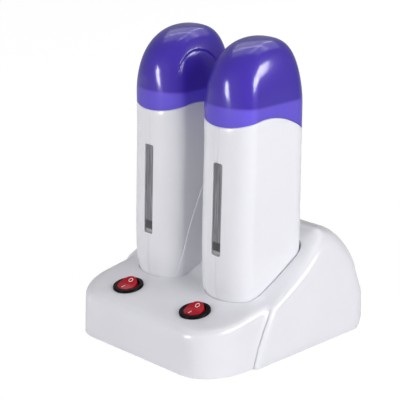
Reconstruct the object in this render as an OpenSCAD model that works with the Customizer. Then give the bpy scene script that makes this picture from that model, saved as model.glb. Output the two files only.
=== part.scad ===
// Double roll-on wax heater: two hand heaters with lift-off caps stand in one mains base
// station. X runs across the station, -Y is the front with the switches, +Z is up.
// The origin is the middle of the station's box, on the surface that it stands on.

/* [Heater] */
// Width of a heater, across its flat sides
pod_w = 49; // [44:0.5:60]
// Depth of a heater, from its nose to its back
pod_d = 70.5; // [62:0.5:86]
// Height of a heater's cap top above the station's rim
cap_top_h = 225.3; // [212:0.1:260]
// Depth of the oval nose
nose_d = 15; // [10:0.5:22]
// Corner radius of the back
back_r = 14; // [8:0.5:20]
// How far the nose leans back at the shoulder
nose_bow = 2.2; // [0:0.1:4]
// Wall of the heater's shells
pod_wall = 2.2; // [1.6:0.1:3]
// How far the rounded foot of a heater draws in
foot_tuck = 11; // [6:0.5:12]
// Height of the rounded foot
foot_round_h = 31.7; // [20:0.1:40]
// Depth of the stepped grip panel
grip_step = 0.7; // [0.3:0.1:1.2]
// Radius of the grip panel's edge
grip_r = 600; // [400:10:900]
// Slope of the grip panel's edge at its middle
grip_tilt = 66; // [60:0.5:72]

/* [Shoulder and cap] */
// Height of the shoulder's crest
shoulder_h = 173.3; // [165:0.1:182]
// Drop of the shoulder from its crest to the back
shoulder_drop = 18; // [4:0.5:24]
// Height of the collar's top
collar_h = 181.5; // [178:0.1:190]
// Wall of the collar
collar_wall = 2.6; // [1.6:0.1:3.2]
// Wall of the cap
cap_wall = 1.6; // [1.2:0.1:2.4]
// Height at which the cap starts to close
dome_h = 176.5; // [168:0.5:190]
// Depth of the thumb recess in the cap
thumb_step = 0.7; // [0.3:0.1:1]
// Half the width of the thumb recess
thumb_w = 20.7; // [12:0.1:24]
// How much the thumb recess leans inwards with the dome
thumb_lean = 8; // [4:0.5:12]
// Gap between the cap's edge and the shoulder
cap_gap = 0.3; // [0.2:0.1:0.8]

/* [Window] */
// Width of the view window
window_w = 8.7; // [6:0.1:12]
// Height of the view window
window_h = 67.7; // [40:0.1:80]
// Height of the window's lower end
window_z = 74; // [70:0.5:84]
// Gap round the window lens
lens_gap = 0.2; // [0.1:0.05:0.4]

/* [Wax chamber] */
// Distance from the heater's outside to the chamber
chamber_inset = 6; // [5.6:0.1:7.5]
// Wall of the aluminium chamber
chamber_wall = 1.2; // [0.8:0.1:2]
// Height of the chamber's foot
chamber_z = 60; // [56:1:66]
// Thickness of the heating plate
ptc_t = 2.4; // [1.8:0.1:2.6]
// Thickness of the leaf springs
leaf_t = 0.4; // [0.3:0.1:0.6]

/* [Station] */
// Space between the two heaters
pod_gap = 21.8; // [16:0.1:34]
// Width of the wing beside each heater
wing_w = 20.1; // [15:0.1:30]
// How much narrower the front part is, on each side
front_step = 4.5; // [2:0.1:7]
// Depth of the deck in front of the heaters
deck_run = 46; // [44:0.5:60]
// Space between a heater's back and the ridge
ridge_gap = 14.7; // [9:0.1:24]
// Depth of the slope behind the ridge
back_run = 35.8; // [30:0.1:50]
// Height of the ridge above the rim
ridge_h = 82.5; // [70:0.5:95]
// Slope of the ramp behind the deck
ramp_tilt = 30.5; // [26:0.5:34]
// Slope of the deck
deck_tilt = 9.3; // [5:0.1:11]
// Height of the deck at the switches
deck_h = 37.2; // [35:0.1:42]
// Wall of the station's moulding
base_wall = 2.5; // [1.8:0.1:3]
// Gap round a heater at the mouth of its pocket
mouth_gap = 1.9; // [1:0.1:2.5]
// Gap round a heater deeper in its pocket
well_gap = 0.6; // [0.4:0.1:1]
// Height of the pocket's floor
pocket_z = 28; // [26:0.5:32]
// Gap under a heater that stands in its pocket
seat_gap = 0.3; // [0.2:0.05:0.5]

/* [Station floor] */
// Thickness of the bottom plate
plate_t = 2.5; // [2:0.1:3.5]
// How far the plate sits inside the rim
plate_z = 1; // [0.5:0.1:2]
// Gap round the plate
plate_gap = 0.3; // [0.2:0.1:0.8]
// Radius of the rubber feet
foot_r = 6; // [4:0.5:9]
// How far the feet stand out below the rim
foot_proud = 1.5; // [1:0.1:3]
// Radius of the station's screws
screw_r = 1.5; // [1.2:0.1:2]

/* [Switches] */
// Distance from the front edge to the switches
switch_setback = 25.9; // [24:0.1:30]
// Radius of a switch's bezel
bezel_r = 11.5; // [10.5:0.1:13]
// Height of the bezel
bezel_h = 2; // [1.5:0.1:3]
// Radius of the barrel behind the bezel
barrel_r = 9.8; // [9.3:0.1:10.2]
// Length of the barrel
barrel_l = 17; // [16.5:0.1:18]
// Radius of a rocker
rocker_r = 7.5; // [6.5:0.1:7.7]
// Tilt of a rocker at each end of its travel
rocker_tilt = 12; // [8:0.5:13]
// Tilt of the contact lever at each end of its travel
lever_tilt = 8; // [5:0.5:8]
// Radius of a rocker's trunnions
trunnion_r = 1.2; // [0.9:0.1:1.5]

/* [Contacts] */
// Distance between the two contact pins of a cradle
pin_pitch = 10; // [8:0.5:12]
// Radius of a contact pin
pin_r = 1.5; // [1:0.1:1.8]
// How far the pins stand out of the pocket's floor
pin_up = 9; // [6:0.5:11]
// Radial clearance of everything that turns or slides in a bore
run_gap = 0.05; // [0.02:0.01:0.1]
// Radius of the leads
lead_r = 0.9; // [0.6:0.1:1.2]

/* [Hidden] */
$fn = 48;
LEFT = -1;
RIGHT = 1;
slice = 0.02;      // thickness of the slices that a rounded form is spanned over
far = 300;         // longer than any part

// Plan of the station
base_w = 2 * pod_w + pod_gap + 2 * wing_w;
base_d = deck_run + pod_d + ridge_gap + back_run;
front_y = -base_d / 2;
back_y = base_d / 2;
front_half = base_w / 2 - front_step;
pod_x = (pod_gap + pod_w) / 2;
nose_y = front_y + deck_run;
heel_y = nose_y + pod_d;
mid_y = nose_y + pod_d / 2;
ridge_y = heel_y + ridge_gap;
switch_y = front_y + switch_setback;
front_rx = 28;     // half-axes of the round front corners
front_ry = 37;

// Slopes of the station
deck_rise = tan(deck_tilt);
ramp_rise = tan(ramp_tilt);
foot_y = (ridge_h - ramp_rise * ridge_y - deck_h + deck_rise * switch_y) / (deck_rise - ramp_rise);
groove_y = foot_y - 21.7;   // the wings step out of the sides from here, at the rim
deck_soft = 4;     // rounding of the deck's edge
function deck_z(y) = deck_h + deck_rise * (y - switch_y);
function ramp_y(z) = ridge_y - (ridge_h - z) / ramp_rise;
foot_z = deck_z(foot_y);

// Heights in a heater
pod_z = pocket_z + seat_gap;
bow_z = 80;        // the nose leans back from here
bow_top = 150;     // to here, and is upright above
foot_top = pod_z + foot_round_h;
crest_y = mid_y - 8.4;
inner_z = pod_z + pod_wall;
dome_y = nose_y + 45;    // the dome's highest point
thumb_y = mid_y - 5;
thumb_z = collar_h + 2;
thumb_top = dome_h + 35.5;
collar_z = shoulder_h - 25;
window_mid = window_z + window_h / 2;
function bow(z) = nose_bow * max(0, min(1, (z - bow_z) / (bow_top - bow_z)));
function foot_in(z) = z >= foot_top ? 0
    : foot_tuck * (1 - sqrt(max(0, 1 - pow((foot_top - z) / foot_round_h, 2))));
function shoulder_z(y) = shoulder_h - shoulder_drop * pow((y - crest_y) / (heel_y - crest_y), 2);

// An arc of an ellipse, as points
function arc(cx, cy, rx, ry, a0, a1, n) =
    [for (i = [0:n]) let (a = a0 + (a1 - a0) * i / n) [cx + rx * cos(a), cy + ry * sin(a)]];

// Outline of a heater, grown outwards by grow and with its nose moved back by lean
function pod_outline(grow = 0, lean = 0) = concat(
    arc(0, nose_y + lean + nose_d, pod_w / 2 + grow, nose_d + grow, 180, 360, 15),
    arc(pod_w / 2 - back_r, heel_y - back_r, back_r + grow, back_r + grow, 0, 90, 7),
    arc(back_r - pod_w / 2, heel_y - back_r, back_r + grow, back_r + grow, 90, 180, 7));

// Outline of a rounded box with its own radii in front and behind
function box_outline(half, y0, y1, r0, r1) = concat(
    arc(-half + r0, y0 + r0, r0, r0, 180, 270, 5), arc(half - r0, y0 + r0, r0, r0, 270, 360, 5),
    arc(half - r1, y1 - r1, r1, r1, 0, 90, 6), arc(-half + r1, y1 - r1, r1, r1, 90, 180, 6));

// Outline of the front part of the station, drawn in by inset
function front_outline(inset = 0) = concat(
    arc(-front_half + front_rx, front_y + front_ry, front_rx - inset, front_ry - inset, 180, 270, 9),
    arc(front_half - front_rx, front_y + front_ry, front_rx - inset, front_ry - inset, 270, 360, 9),
    [[front_half - inset, mid_y], [-front_half + inset, mid_y]]);

// The dome's outline at a share t of its height, drawn in about its top
function superarc(t, p, q) = pow(max(0, 1 - pow(t, p)), 1 / q);
function dome_outline(t, grow) = [for (p = pod_outline(grow, nose_bow))
    [p.x * superarc(t, 2.2, 3),
     dome_y + (p.y - dome_y) * superarc(t, 2.5, p.y < dome_y ? 1.8 : 2.4)]];

// ---- shared forms ----

// A heater's place in the station; the right one is the left one mirrored
module pod(side) {
    translate([side * pod_x, 0, foot_proud]) mirror([side > 0 ? 1 : 0, 0, 0]) children();
}

module station() {
    translate([0, 0, foot_proud]) children();
}

// A switch's place: the origin is the middle of its bezel on the sloped deck
module on_deck(side = 0) {
    translate([side * pod_x, switch_y, deck_h + foot_proud]) rotate([deck_tilt, 0, 0]) children();
}

module slab(z, points) {
    translate([0, 0, z]) linear_extrude(slice) polygon(points);
}

// A side profile, given as [y, z] points, drawn out along X
module across(x0, x1, points) {
    translate([x0, 0, 0]) rotate([90, 0, 90]) linear_extrude(x1 - x0) polygon(points);
}

// A round bar along X
module bar_x(x0, x1, r) {
    translate([x0, 0, 0]) rotate([0, 90, 0]) cylinder(h = x1 - x0, r = r);
}

// A lead that runs straight from point to point, with a square clip at each turn
module lead(points, r = lead_r) {
    last = len(points) - 1;
    for (i = [1:last]) {
        d = points[i] - points[i - 1];
        from = i > 1 ? 0.7 * r : 0;
        to = norm(d) - (i < last ? 0.7 * r : 0);
        translate(points[i - 1]) rotate([0, acos(d.z / norm(d)), atan2(d.y, d.x)])
            translate([0, 0, from]) cylinder(h = to - from, r = r);
        if (i < last) translate(points[i]) cube(2.6 * r, center = true);
    }
}

// The block that leads branch from
module splice(at) {
    translate(at - splice_size / 2) cube(splice_size);
}

// ---- heater ----

pod_slices = [pod_z, pod_z + 0.8, pod_z + 3, pod_z + 7.5, pod_z + 14, pod_z + 22, foot_top,
              bow_z, bow_top - slice];

// The heater's form from its foot to where it runs upright, drawn in by inset
module pod_form(inset = 0) {
    hull()
        for (z = pod_slices)
            slab(z + (z < foot_top ? inset * (foot_top - z) / foot_round_h : 0),
                 pod_outline(-foot_in(z) - inset, bow(z)));
}

// The upright part under the shoulder
module neck_form(inset = 0) {
    translate([0, 0, bow_top]) linear_extrude(shoulder_h + 2 - bow_top)
        polygon(pod_outline(-inset, nose_bow));
}

// The shoulder's line, seen from the side and raised by gap
function shoulder_line(gap) =
    [for (i = [0:18]) let (y = nose_y - 5 + i * (pod_d + 10) / 18) [y, shoulder_z(y) + gap]];

module above_shoulder() {
    across(-pod_w, pod_w, concat(shoulder_line(0), [[heel_y + 5, far], [nose_y - 5, far]]));
}

module below_shoulder(gap) {
    across(-pod_w, pod_w, concat(shoulder_line(gap), [[heel_y + 5, 0], [nose_y - 5, 0]]));
}

shell_screws_at = [[mid_y - 15.75, pod_z + 9.7], [mid_y + 24.25, pod_z + 9.7]];
boss_r = 3.2;
shell_screw_r = 1.2;
screw_head_r = 2.4;
screw_head_h = 1.6;
head_x = pod_w / 2 - 7;    // where the heads seat, from the middle of the heater

module rounded_slot(w, h, r) {
    translate([0, 0, window_mid]) rotate([90, 0, 0]) linear_extrude(40, center = true) polygon(concat(
        arc(w / 2 - r, h / 2 - r, r, r, 0, 90, 4), arc(r - w / 2, h / 2 - r, r, r, 90, 180, 4),
        arc(r - w / 2, r - h / 2, r, r, 180, 270, 4), arc(w / 2 - r, r - h / 2, r, r, 270, 360, 4)));
}

module window_cut(gap = 0) {
    translate([0, nose_y, 0]) rounded_slot(window_w - 2 * gap, window_h - 2 * gap, 1.5);
}

// One half of the shell, on the side of the parting plane that side names
module half_shell(side) {
    difference() {
        union() {
            difference() {
                pod_form();
                difference() {
                    pod_form(pod_wall);
                    for (p = shell_screws_at) translate([0, p.x, p.y]) bar_x(-pod_w, pod_w, boss_r);
                }
            }
            difference() {
                neck_form();
                neck_form(pod_wall);
                above_shoulder();
            }
        }
        window_cut();
        for (s = [-1, 1])
            translate([s * pin_pitch / 2, mid_y, 0]) cylinder(h = inner_z + 1, r = pin_r + 0.8);
        translate([side > 0 ? -pod_w : 0, -far / 2, 0]) cube([pod_w, far, far]);
    }
}

module outer_shell() {
    color("white") difference() {
        half_shell(LEFT);
        for (p = shell_screws_at) translate([0, p.x, p.y]) bar_x(-10, 1, shell_screw_r + run_gap);
    }
}

// The grip panel's front edge, seen from the side, is one long arc
grip_mid = [nose_y + 16.2, bow_z - 1.6];
grip_down = 68 / grip_r * 180 / PI;
grip_up = 140 / grip_r * 180 / PI;
grip_edge = arc(grip_mid.x + grip_r * sin(grip_tilt), grip_mid.y - grip_r * cos(grip_tilt),
    grip_r, grip_r, 90 + grip_tilt + grip_down, 90 + grip_tilt - grip_up, 14);

module grip_panel() {
    across(pod_w / 2 - grip_step, pod_w, concat([for (p = grip_edge) if (p.x < heel_y + 5) p],
        [[heel_y + 5, shoulder_h - 10], [heel_y + 5, 0]]));
}

module grip_shell() {
    color("white") difference() {
        half_shell(RIGHT);
        grip_panel();
        for (p = shell_screws_at) translate([0, p.x, p.y]) {
            bar_x(-1, pod_w, shell_screw_r + 0.3);
            bar_x(head_x, pod_w, screw_head_r + 0.3);
        }
    }
}

module shell_screws() {
    color("silver") for (p = shell_screws_at) translate([0, p.x, p.y]) difference() {
        union() {
            bar_x(-9, head_x, shell_screw_r);
            bar_x(head_x, head_x + screw_head_h, screw_head_r);
        }
        translate([head_x + screw_head_h - 0.7, -0.4, -1.8]) cube([2, 0.8, 3.6]);
    }
}

module window_lens() {
    seat = pod_wall + lens_gap;
    color("gray") {
        intersection() {
            window_cut(lens_gap);
            difference() {
                pod_form(0.5);
                pod_form(seat + 1);
            }
        }
        intersection() {
            window_cut(-2);
            difference() {
                pod_form(seat);
                pod_form(seat + 1);
            }
        }
    }
}

chamber_out = -chamber_inset;
chamber_in = -chamber_inset - chamber_wall;
chamber_top = collar_h - 3.8;

module wax_chamber() {
    color("lightgray") difference() {
        translate([0, 0, chamber_z]) linear_extrude(chamber_top - chamber_z)
            polygon(pod_outline(chamber_out, nose_bow));
        translate([0, 0, chamber_z + chamber_wall]) linear_extrude(far)
            polygon(pod_outline(chamber_in, nose_bow));
        translate([-window_w / 2 + 1.5, nose_y - 5, window_z + 2])
            cube([window_w - 3, nose_d + chamber_inset + 3, window_h - 4]);
    }
}

module collar() {
    out = -pod_wall - 0.4;
    lip = 3.5;
    color("white") difference() {
        translate([0, 0, collar_z]) linear_extrude(collar_h - collar_z)
            polygon(pod_outline(out, nose_bow));
        translate([0, 0, collar_z - 1]) linear_extrude(collar_h - collar_z - lip + 1)
            polygon(pod_outline(min(out - collar_wall, chamber_out + 0.4), nose_bow));
        translate([0, 0, collar_z - 1]) linear_extrude(far)
            polygon(pod_outline(chamber_in + 0.2, nose_bow));
    }
}

plate_x = pod_w / 2 - chamber_inset;    // the chamber's flat outside

ptc_w = 34;
ptc_l = 42;
ptc_z = chamber_z + 18;
clamp_w = 12;
clamp_l = 66;

module heating_plate() {
    color("beige") translate([-plate_x - ptc_t, mid_y - ptc_w / 2, ptc_z]) cube([ptc_t, ptc_w, ptc_l]);
}

module plate_clamp() {
    x = plate_x + ptc_t;
    color("silver") {
        translate([-x - 2 * leaf_t, mid_y - clamp_w / 2, chamber_z + 6])
            cube([2 * leaf_t, clamp_w, clamp_l]);
        for (z = [chamber_z + 6, chamber_z + clamp_l])
            translate([-x - leaf_t, mid_y - clamp_w / 2, z]) cube([ptc_t + leaf_t, clamp_w, 6]);
    }
}

stat_y = mid_y + 12.25;
stat_h = 7;
stat_r = 8;
blade_x = 5;       // the thermostat's blades, each side of its middle
blade_w = 3;
blade_l = 4;
stat_tail_z = chamber_z - stat_h - blade_l - 1;

module thermostat() {
    color("black") translate([0, stat_y, chamber_z - stat_h]) {
        cylinder(h = stat_h, r = stat_r);
        for (s = [-1, 1]) translate([s * blade_x - blade_w / 2, -0.4, -blade_l])
            cube([blade_w, 0.8, blade_l + 0.2]);
    }
}

fuse_r = 2;
fuse_x = -9;
fuse_y = mid_y - 7.75;
fuse_z = chamber_z - fuse_r - 0.1;
fuse_l = 9;
fuse_span = 17;    // over its wire ends
fuse_lead = 1.6;   // from a wire end to the middle of its lead

module thermal_fuse() {
    color("tan") translate([fuse_x, fuse_y, fuse_z]) rotate([90, 0, 0]) {
        cylinder(h = fuse_l, r = fuse_r, center = true);
        cylinder(h = fuse_span, r = 0.5, center = true);
    }
}

block_w = 22;
block_d = 12;
block_h = 11;
socket_r = pin_r + run_gap + 0.9;
socket_up = 1.5;   // how far the sockets stand out of their block

module contact_block() {
    color("dimgray") translate([0, mid_y, inner_z]) difference() {
        translate([-block_w / 2, -block_d / 2, 0]) cube([block_w, block_d, block_h]);
        for (s = [-1, 1]) translate([s * pin_pitch / 2, 0, -1]) cylinder(h = far, r = socket_r + run_gap);
    }
}

module contact_sockets() {
    color("gold") for (s = [-1, 1]) translate([s * pin_pitch / 2, mid_y, inner_z]) difference() {
        cylinder(h = block_h + socket_up, r = socket_r);
        translate([0, 0, -1]) cylinder(h = block_h + 1, r = pin_r + run_gap);
    }
}

module leads() {
    top = inner_z + block_h + socket_up + 0.9;
    plate_lead_x = -plate_x - ptc_t / 2;
    color("firebrick") {
        lead([[pin_pitch / 2, mid_y, top], [pin_pitch / 2, mid_y + 4, top + 2.5],
              [blade_x, stat_y, stat_tail_z]]);
        lead([[-pin_pitch / 2, mid_y, top], [-8, mid_y - 9, top + 4],
              [fuse_x, fuse_y - fuse_span / 2 - fuse_lead, fuse_z]]);
        lead([[-blade_x, stat_y, stat_tail_z], [-blade_x - blade_w, stat_y, stat_tail_z - 0.6],
              [plate_lead_x, stat_y - 1, chamber_z - 3], [plate_lead_x, stat_y - 2, ptc_z - 0.4]]);
    }
}

// A leaf spring bowed into the chamber, which holds the wax cartridge
module cartridge_spring() {
    half = 25;
    rise = 2;
    spring_w = 10;
    r = (half * half + rise * rise) / (2 * rise);
    color("silver") intersection() {
        translate([pod_w / 2 + chamber_in - 0.1 - rise + r, mid_y, window_mid]) rotate([90, 0, 0])
            difference() {
                cylinder(h = spring_w, r = r, center = true, $fn = 180);
                cylinder(h = spring_w + 2, r = r - leaf_t, center = true, $fn = 180);
            }
        translate([0, mid_y - 10, window_mid - half])
            cube([pod_w / 2 + chamber_in - 0.1, 20, 2 * half]);
    }
}

// The cap's dome, drawn in by inset
module dome_form(inset = 0) {
    hull() {
        for (a = [0, 12, 24, 36, 48, 58, 67, 75, 82, 87])
            slab(dome_h + (cap_top_h - inset - slice - dome_h) * sin(a), dome_outline(sin(a), -inset));
        translate([0, dome_y, cap_top_h - inset - slice]) cylinder(h = slice, r = 1.2, $fn = 24);
    }
}

// The upright part of the cap, under the dome
module skirt_form(inset = 0) {
    translate([0, 0, bow_top]) linear_extrude(dome_h - bow_top) polygon(pod_outline(-inset, nose_bow));
}

module cap() {
    color("slateblue", 0.8) {
        difference() {
            dome_form();
            dome_form(cap_wall);
            translate([pod_w / 2 - thumb_step, 0, thumb_z]) rotate([0, -thumb_lean, 0])
                across(0, pod_w, concat([[thumb_y + thumb_w, 0], [thumb_y - thumb_w, 0]],
                    arc(thumb_y, thumb_top - thumb_z - thumb_w, thumb_w, thumb_w, 180, 0, 14)));
        }
        difference() {
            skirt_form();
            skirt_form(cap_wall);
            below_shoulder(cap_gap);
        }
    }
}

// ---- base station ----

// The hump behind the deck, as slices: [height, half width, front, back, front radius, back radius]
hump = [
    [0, base_w / 2, groove_y, back_y, 2, 15],
    [15, base_w / 2 - 0.2, groove_y + 4.5, back_y - 0.2, 2, 15],
    [30, base_w / 2 - 1, groove_y + 11.5, back_y - 1.5, 2, 16],
    [foot_z, base_w / 2 - 2.5, foot_y, back_y - 4, 3, 18],
    [ridge_h - 27.5, base_w / 2 - 4.5, ramp_y(ridge_h - 27.5), back_y - 8, 7, 20],
    [ridge_h - 17.5, base_w / 2 - 7, ramp_y(ridge_h - 17.5), back_y - 12.5, 8, 20],
    [ridge_h - 8.5, base_w / 2 - 10, ramp_y(ridge_h - 8.5), back_y - 18.5, 8, 18],
    [ridge_h - 2.5, base_w / 2 - 12.5, ramp_y(ridge_h - 2.5), back_y - 25, 6, 14],
    [ridge_h, base_w / 2 - 15, ridge_y - 0.5, back_y - back_run + 4.5, 2, 2],
];

module hump_form(inset = 0) {
    hull()
        for (s = hump)
            slab(max(0, s[0] - inset), box_outline(s[1] - inset, s[2] + inset, s[3] - inset,
                max(1, s[4] - inset), max(1, s[5] - inset)));
}

module deck_slab(drop, inset) {
    translate([0, switch_y, deck_h - drop]) rotate([deck_tilt, 0, 0]) translate([0, -switch_y, 0])
        linear_extrude(slice) polygon(front_outline(inset));
}

module front_form(inset = 0) {
    hull() {
        slab(0, front_outline(inset));
        deck_slab(inset + deck_soft, inset + 1);
        deck_slab(inset + deck_soft * 0.3, inset + 1 + deck_soft * 0.3);
        deck_slab(inset + slice, inset + 1 + deck_soft);
    }
}

base_screws_at = [
    for (s = [-1, 1]) [s * (front_half - 15.5), front_y + 23.5],
    for (s = [-1, 1]) [s * (base_w / 2 - 14), back_y - 17.5],
];
feet_at = [
    for (s = [-1, 1]) [s * (front_half - 30), front_y + 16],
    for (s = [-1, 1]) [s * (base_w / 2 - 30), back_y - 18],
];
plate_top = plate_z + plate_t;
tower_r = 4;
tower_h = 12;          // depth of the screw holes in the towers
barrel_gap = 0.2;
inlet_z = 14;          // the figure-8 mains inlet
inlet_w = 20;
inlet_h = 12;
inlet_l = 14;
inlet_pitch = 8.6;
inlet_pin_r = 1.2;
inlet_bore_r = 4;
socket_deep = 9;

module pocket_cuts() {
    for (s = [-1, 1]) translate([s * pod_x, 0, 0]) {
        translate([0, 0, pocket_z]) linear_extrude(far) polygon(pod_outline(well_gap));
        intersection() {
            linear_extrude(far) polygon(pod_outline(mouth_gap));
            translate([0, switch_y, deck_h]) rotate([deck_tilt, 0, 0])
                translate([-pod_w, -far / 2, 0]) cube([2 * pod_w, far, far]);
        }
        for (t = [-1, 1]) translate([t * pin_pitch / 2, mid_y, 0]) cylinder(h = pocket_z + 1, r = pin_r + 0.4);
        for (t = [-1, 1]) translate([t * ear_x, mid_y, 0]) cylinder(h = pocket_z - 0.5, r = ear_screw_r + run_gap);
    }
}

module base_shell() {
    color("white") station() difference() {
        union() {
            front_form();
            hump_form();
        }
        difference() {
            union() {
                front_form(base_wall);
                hump_form(base_wall);
                translate([0, 0, -1]) linear_extrude(1 + slice) base_outline(base_wall);
            }
            for (s = [-1, 1]) translate([s * pod_x, 0, pocket_z - base_wall]) linear_extrude(far)
                polygon(pod_outline(mouth_gap + base_wall));
            for (p = base_screws_at) translate([p.x, p.y, plate_top]) cylinder(h = far, r = tower_r);
        }
        pocket_cuts();
        for (s = [-1, 1]) translate([s * pod_x, switch_y, deck_h]) rotate([deck_tilt, 0, 0])
            translate([0, 0, -2 * barrel_l]) cylinder(h = 3 * barrel_l, r = barrel_r + barrel_gap);
        for (p = base_screws_at) translate([p.x, p.y, 0]) cylinder(h = plate_top + tower_h, r = screw_r + run_gap);
        translate([0, back_y - 8, inlet_z]) cube([inlet_w + 0.6, 20, inlet_h + 0.6], center = true);
    }
}

// Outline of the whole rim; the wings' front edge is moved back by step
module base_outline(inset, step = 0) {
    polygon(front_outline(inset));
    polygon(box_outline(base_w / 2 - inset, groove_y + inset + step, back_y - inset, 2, 15 - inset));
}

module base_plate() {
    color("white") station() difference() {
        translate([0, 0, plate_z]) linear_extrude(plate_t) base_outline(base_wall + plate_gap, 2);
        for (p = base_screws_at) translate([p.x, p.y, 0]) cylinder(h = far, r = screw_r + 0.3);
        for (p = feet_at) translate([p.x, p.y, 0]) cylinder(h = far, r = 2 + run_gap);
        for (s = [-1, 1], i = [-3:3]) translate([s * pod_x + i * 6 - 1, mid_y - 14, 0]) cube([2, 28, 10]);
    }
}

module base_feet() {
    color("dimgray") station() for (p = feet_at) translate([p.x, p.y, 0]) {
        translate([0, 0, -foot_proud]) cylinder(h = foot_proud + plate_z, r = foot_r);
        cylinder(h = plate_top + 1, r = 2);
    }
}

module pan_screw(r, length, head_r, head_h) {
    difference() {
        union() {
            cylinder(h = length, r = r);
            translate([0, 0, -head_h]) cylinder(h = head_h, r = head_r);
        }
        for (a = [0, 90]) rotate([0, 0, a]) translate([-head_r * 0.6, -0.35, -head_h - 0.1])
            cube([head_r * 1.2, 0.7, 0.9]);
    }
}

module base_screws() {
    color("silver") station() for (p = base_screws_at) translate([p.x, p.y, plate_z])
        pan_screw(screw_r, plate_t + 10, 3, 1.8);
}

module mains_inlet() {
    wall_y = back_y - base_wall - 0.2;
    flange_y = wall_y - 3.4;
    color("black") station() translate([0, 0, inlet_z]) difference() {
        union() {
            translate([-inlet_w / 2, wall_y - inlet_l, -inlet_h / 2])
                cube([inlet_w, inlet_l + base_wall - 0.1, inlet_h]);
            translate([-inlet_w / 2 - 3.5, flange_y, -inlet_h / 2 - 3]) cube([inlet_w + 7, 2, inlet_h + 6]);
        }
        for (s = [-1, 1]) translate([s * inlet_pitch / 2, wall_y - socket_deep, 0]) rotate([-90, 0, 0])
            cylinder(h = 20, r = inlet_bore_r);
        translate([-inlet_pitch / 2, wall_y - socket_deep, 0.4 - inlet_bore_r])
            cube([inlet_pitch, 20, 2 * inlet_bore_r - 0.8]);
        for (s = [-1, 1]) translate([s * inlet_pitch / 2, wall_y - 20, 0]) rotate([-90, 0, 0])
            cylinder(h = 20, r = inlet_pin_r + run_gap);
    }
}

module inlet_pins() {
    color("silver") station() for (s = [-1, 1])
        translate([s * inlet_pitch / 2, tail_y + 0.2, inlet_z]) rotate([-90, 0, 0])
            cylinder(h = 18, r = inlet_pin_r);
}

cradle_w = 24;
cradle_d = 14;
cradle_h = 12;
cradle_z = pocket_z - base_wall - cradle_h;
ear_x = 17;        // the screws through its ears
ear_w = 8;
ear_t = 3;
ear_z = cradle_z + cradle_h - ear_t;
ear_screw_r = 1;
pin_down = 4;      // how far the pins stand out below

module cradle_block(side) {
    color("dimgray") translate([side * pod_x, mid_y, foot_proud]) difference() {
        union() {
            translate([-cradle_w / 2, -cradle_d / 2, cradle_z]) cube([cradle_w, cradle_d, cradle_h]);
            translate([-ear_x - 3.5, -ear_w / 2, ear_z]) cube([2 * ear_x + 7, ear_w, ear_t]);
        }
        for (t = [-1, 1]) translate([t * pin_pitch / 2, 0, 0]) cylinder(h = far, r = pin_r + run_gap);
        for (t = [-1, 1]) translate([t * ear_x, 0, 0]) cylinder(h = far, r = ear_screw_r + 0.2);
    }
}

module cradle_screws() {
    color("silver") station() for (s = [-1, 1], t = [-1, 1])
        translate([s * pod_x + t * ear_x, mid_y, ear_z]) pan_screw(ear_screw_r, 4.8, 2, 1.3);
}

module cradle_pins(side) {
    color("gold") translate([side * pod_x, mid_y, foot_proud]) for (t = [-1, 1])
        translate([t * pin_pitch / 2, 0, 0]) {
            translate([0, 0, cradle_z - pin_down])
                cylinder(h = pocket_z + pin_up - pin_r - cradle_z + pin_down, r = pin_r);
            translate([0, 0, pocket_z + pin_up - pin_r]) sphere(r = pin_r);
        }
}

// ---- switch, drawn about the middle of its bezel ----

hinge_z = -1;
cavity_r = 8.6;
mouth_r = 8.4;
floor_t = 1.5;
lever_z = -12.3;
contact_drop = 2;   // from the lever's axis down to its contact buttons
lever_half = 6.5;
pivot_r = 0.6;
plunger_r = 1.5;
plunger_z = -9.05;     // middle of the plunger's round tip, from the hinge
tab_w = 4.8;
tab_t = 0.8;
tab_out = 7;

module switch_housing(side) {
    color("black") on_deck(side) difference() {
        rotate_extrude() polygon([[0, -barrel_l], [barrel_r, -barrel_l], [barrel_r, 0], [bezel_r, 0],
            [bezel_r, bezel_h * 0.45], [bezel_r - 0.9, bezel_h], [0, bezel_h]]);
        translate([0, 0, -barrel_l + floor_t]) cylinder(h = far, r = mouth_r);
        translate([0, 0, -barrel_l + floor_t]) cylinder(h = barrel_l - floor_t - 3, r = cavity_r);
        translate([0, 0, hinge_z]) bar_x(-barrel_r + 0.5, barrel_r - 0.5, trunnion_r + run_gap);
        for (y = [-lever_half + 0.5, 0, lever_half - 0.5])
            translate([-tab_w / 2 - 0.05, y - tab_t / 2 - 0.05, -barrel_l - 1])
                cube([tab_w + 0.1, tab_t + 0.1, 4]);
    }
}

module switch_terminals(side) {
    rest_z = -barrel_l + floor_t;
    color("gold") on_deck(side) {
        for (y = [-lever_half + 0.5, lever_half - 0.5]) {
            translate([-tab_w / 2, y - tab_t / 2, -barrel_l - tab_out]) cube([tab_w, tab_t, tab_out + floor_t + 0.6]);
            translate([0, y, rest_z]) cylinder(h = lever_z - contact_drop - rest_z, r = 1.4);
        }
        difference() {
            translate([-tab_w / 2, -tab_t / 2, -barrel_l - tab_out])
                cube([tab_w, tab_t, barrel_l + tab_out + lever_z]);
            translate([0, 0, lever_z]) bar_x(-far, far, pivot_r + run_gap);
        }
    }
}

// The rocker rests with its front pressed down
module switch_rocker(side) {
    reach = 8;
    color("crimson") on_deck(side) translate([0, 0, hinge_z]) rotate([rocker_tilt, 0, 0]) difference() {
        union() {
            intersection() {
                translate([0, 0, -4]) cylinder(h = 12, r = rocker_r);
                bar_x(-rocker_r, rocker_r, reach);
                across(-rocker_r, rocker_r, [[-reach, -3.5], [reach, -3.5], [reach, 5], [0, 3.3], [-reach, 5]]);
            }
            bar_x(-barrel_r + 0.8, barrel_r - 0.8, trunnion_r);
            translate([0, 0, -6.4]) cylinder(h = 4, r = 2.7);
        }
        translate([0, 0, -7]) cylinder(h = 5.5, r = plunger_r + run_gap);
    }
}

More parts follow.
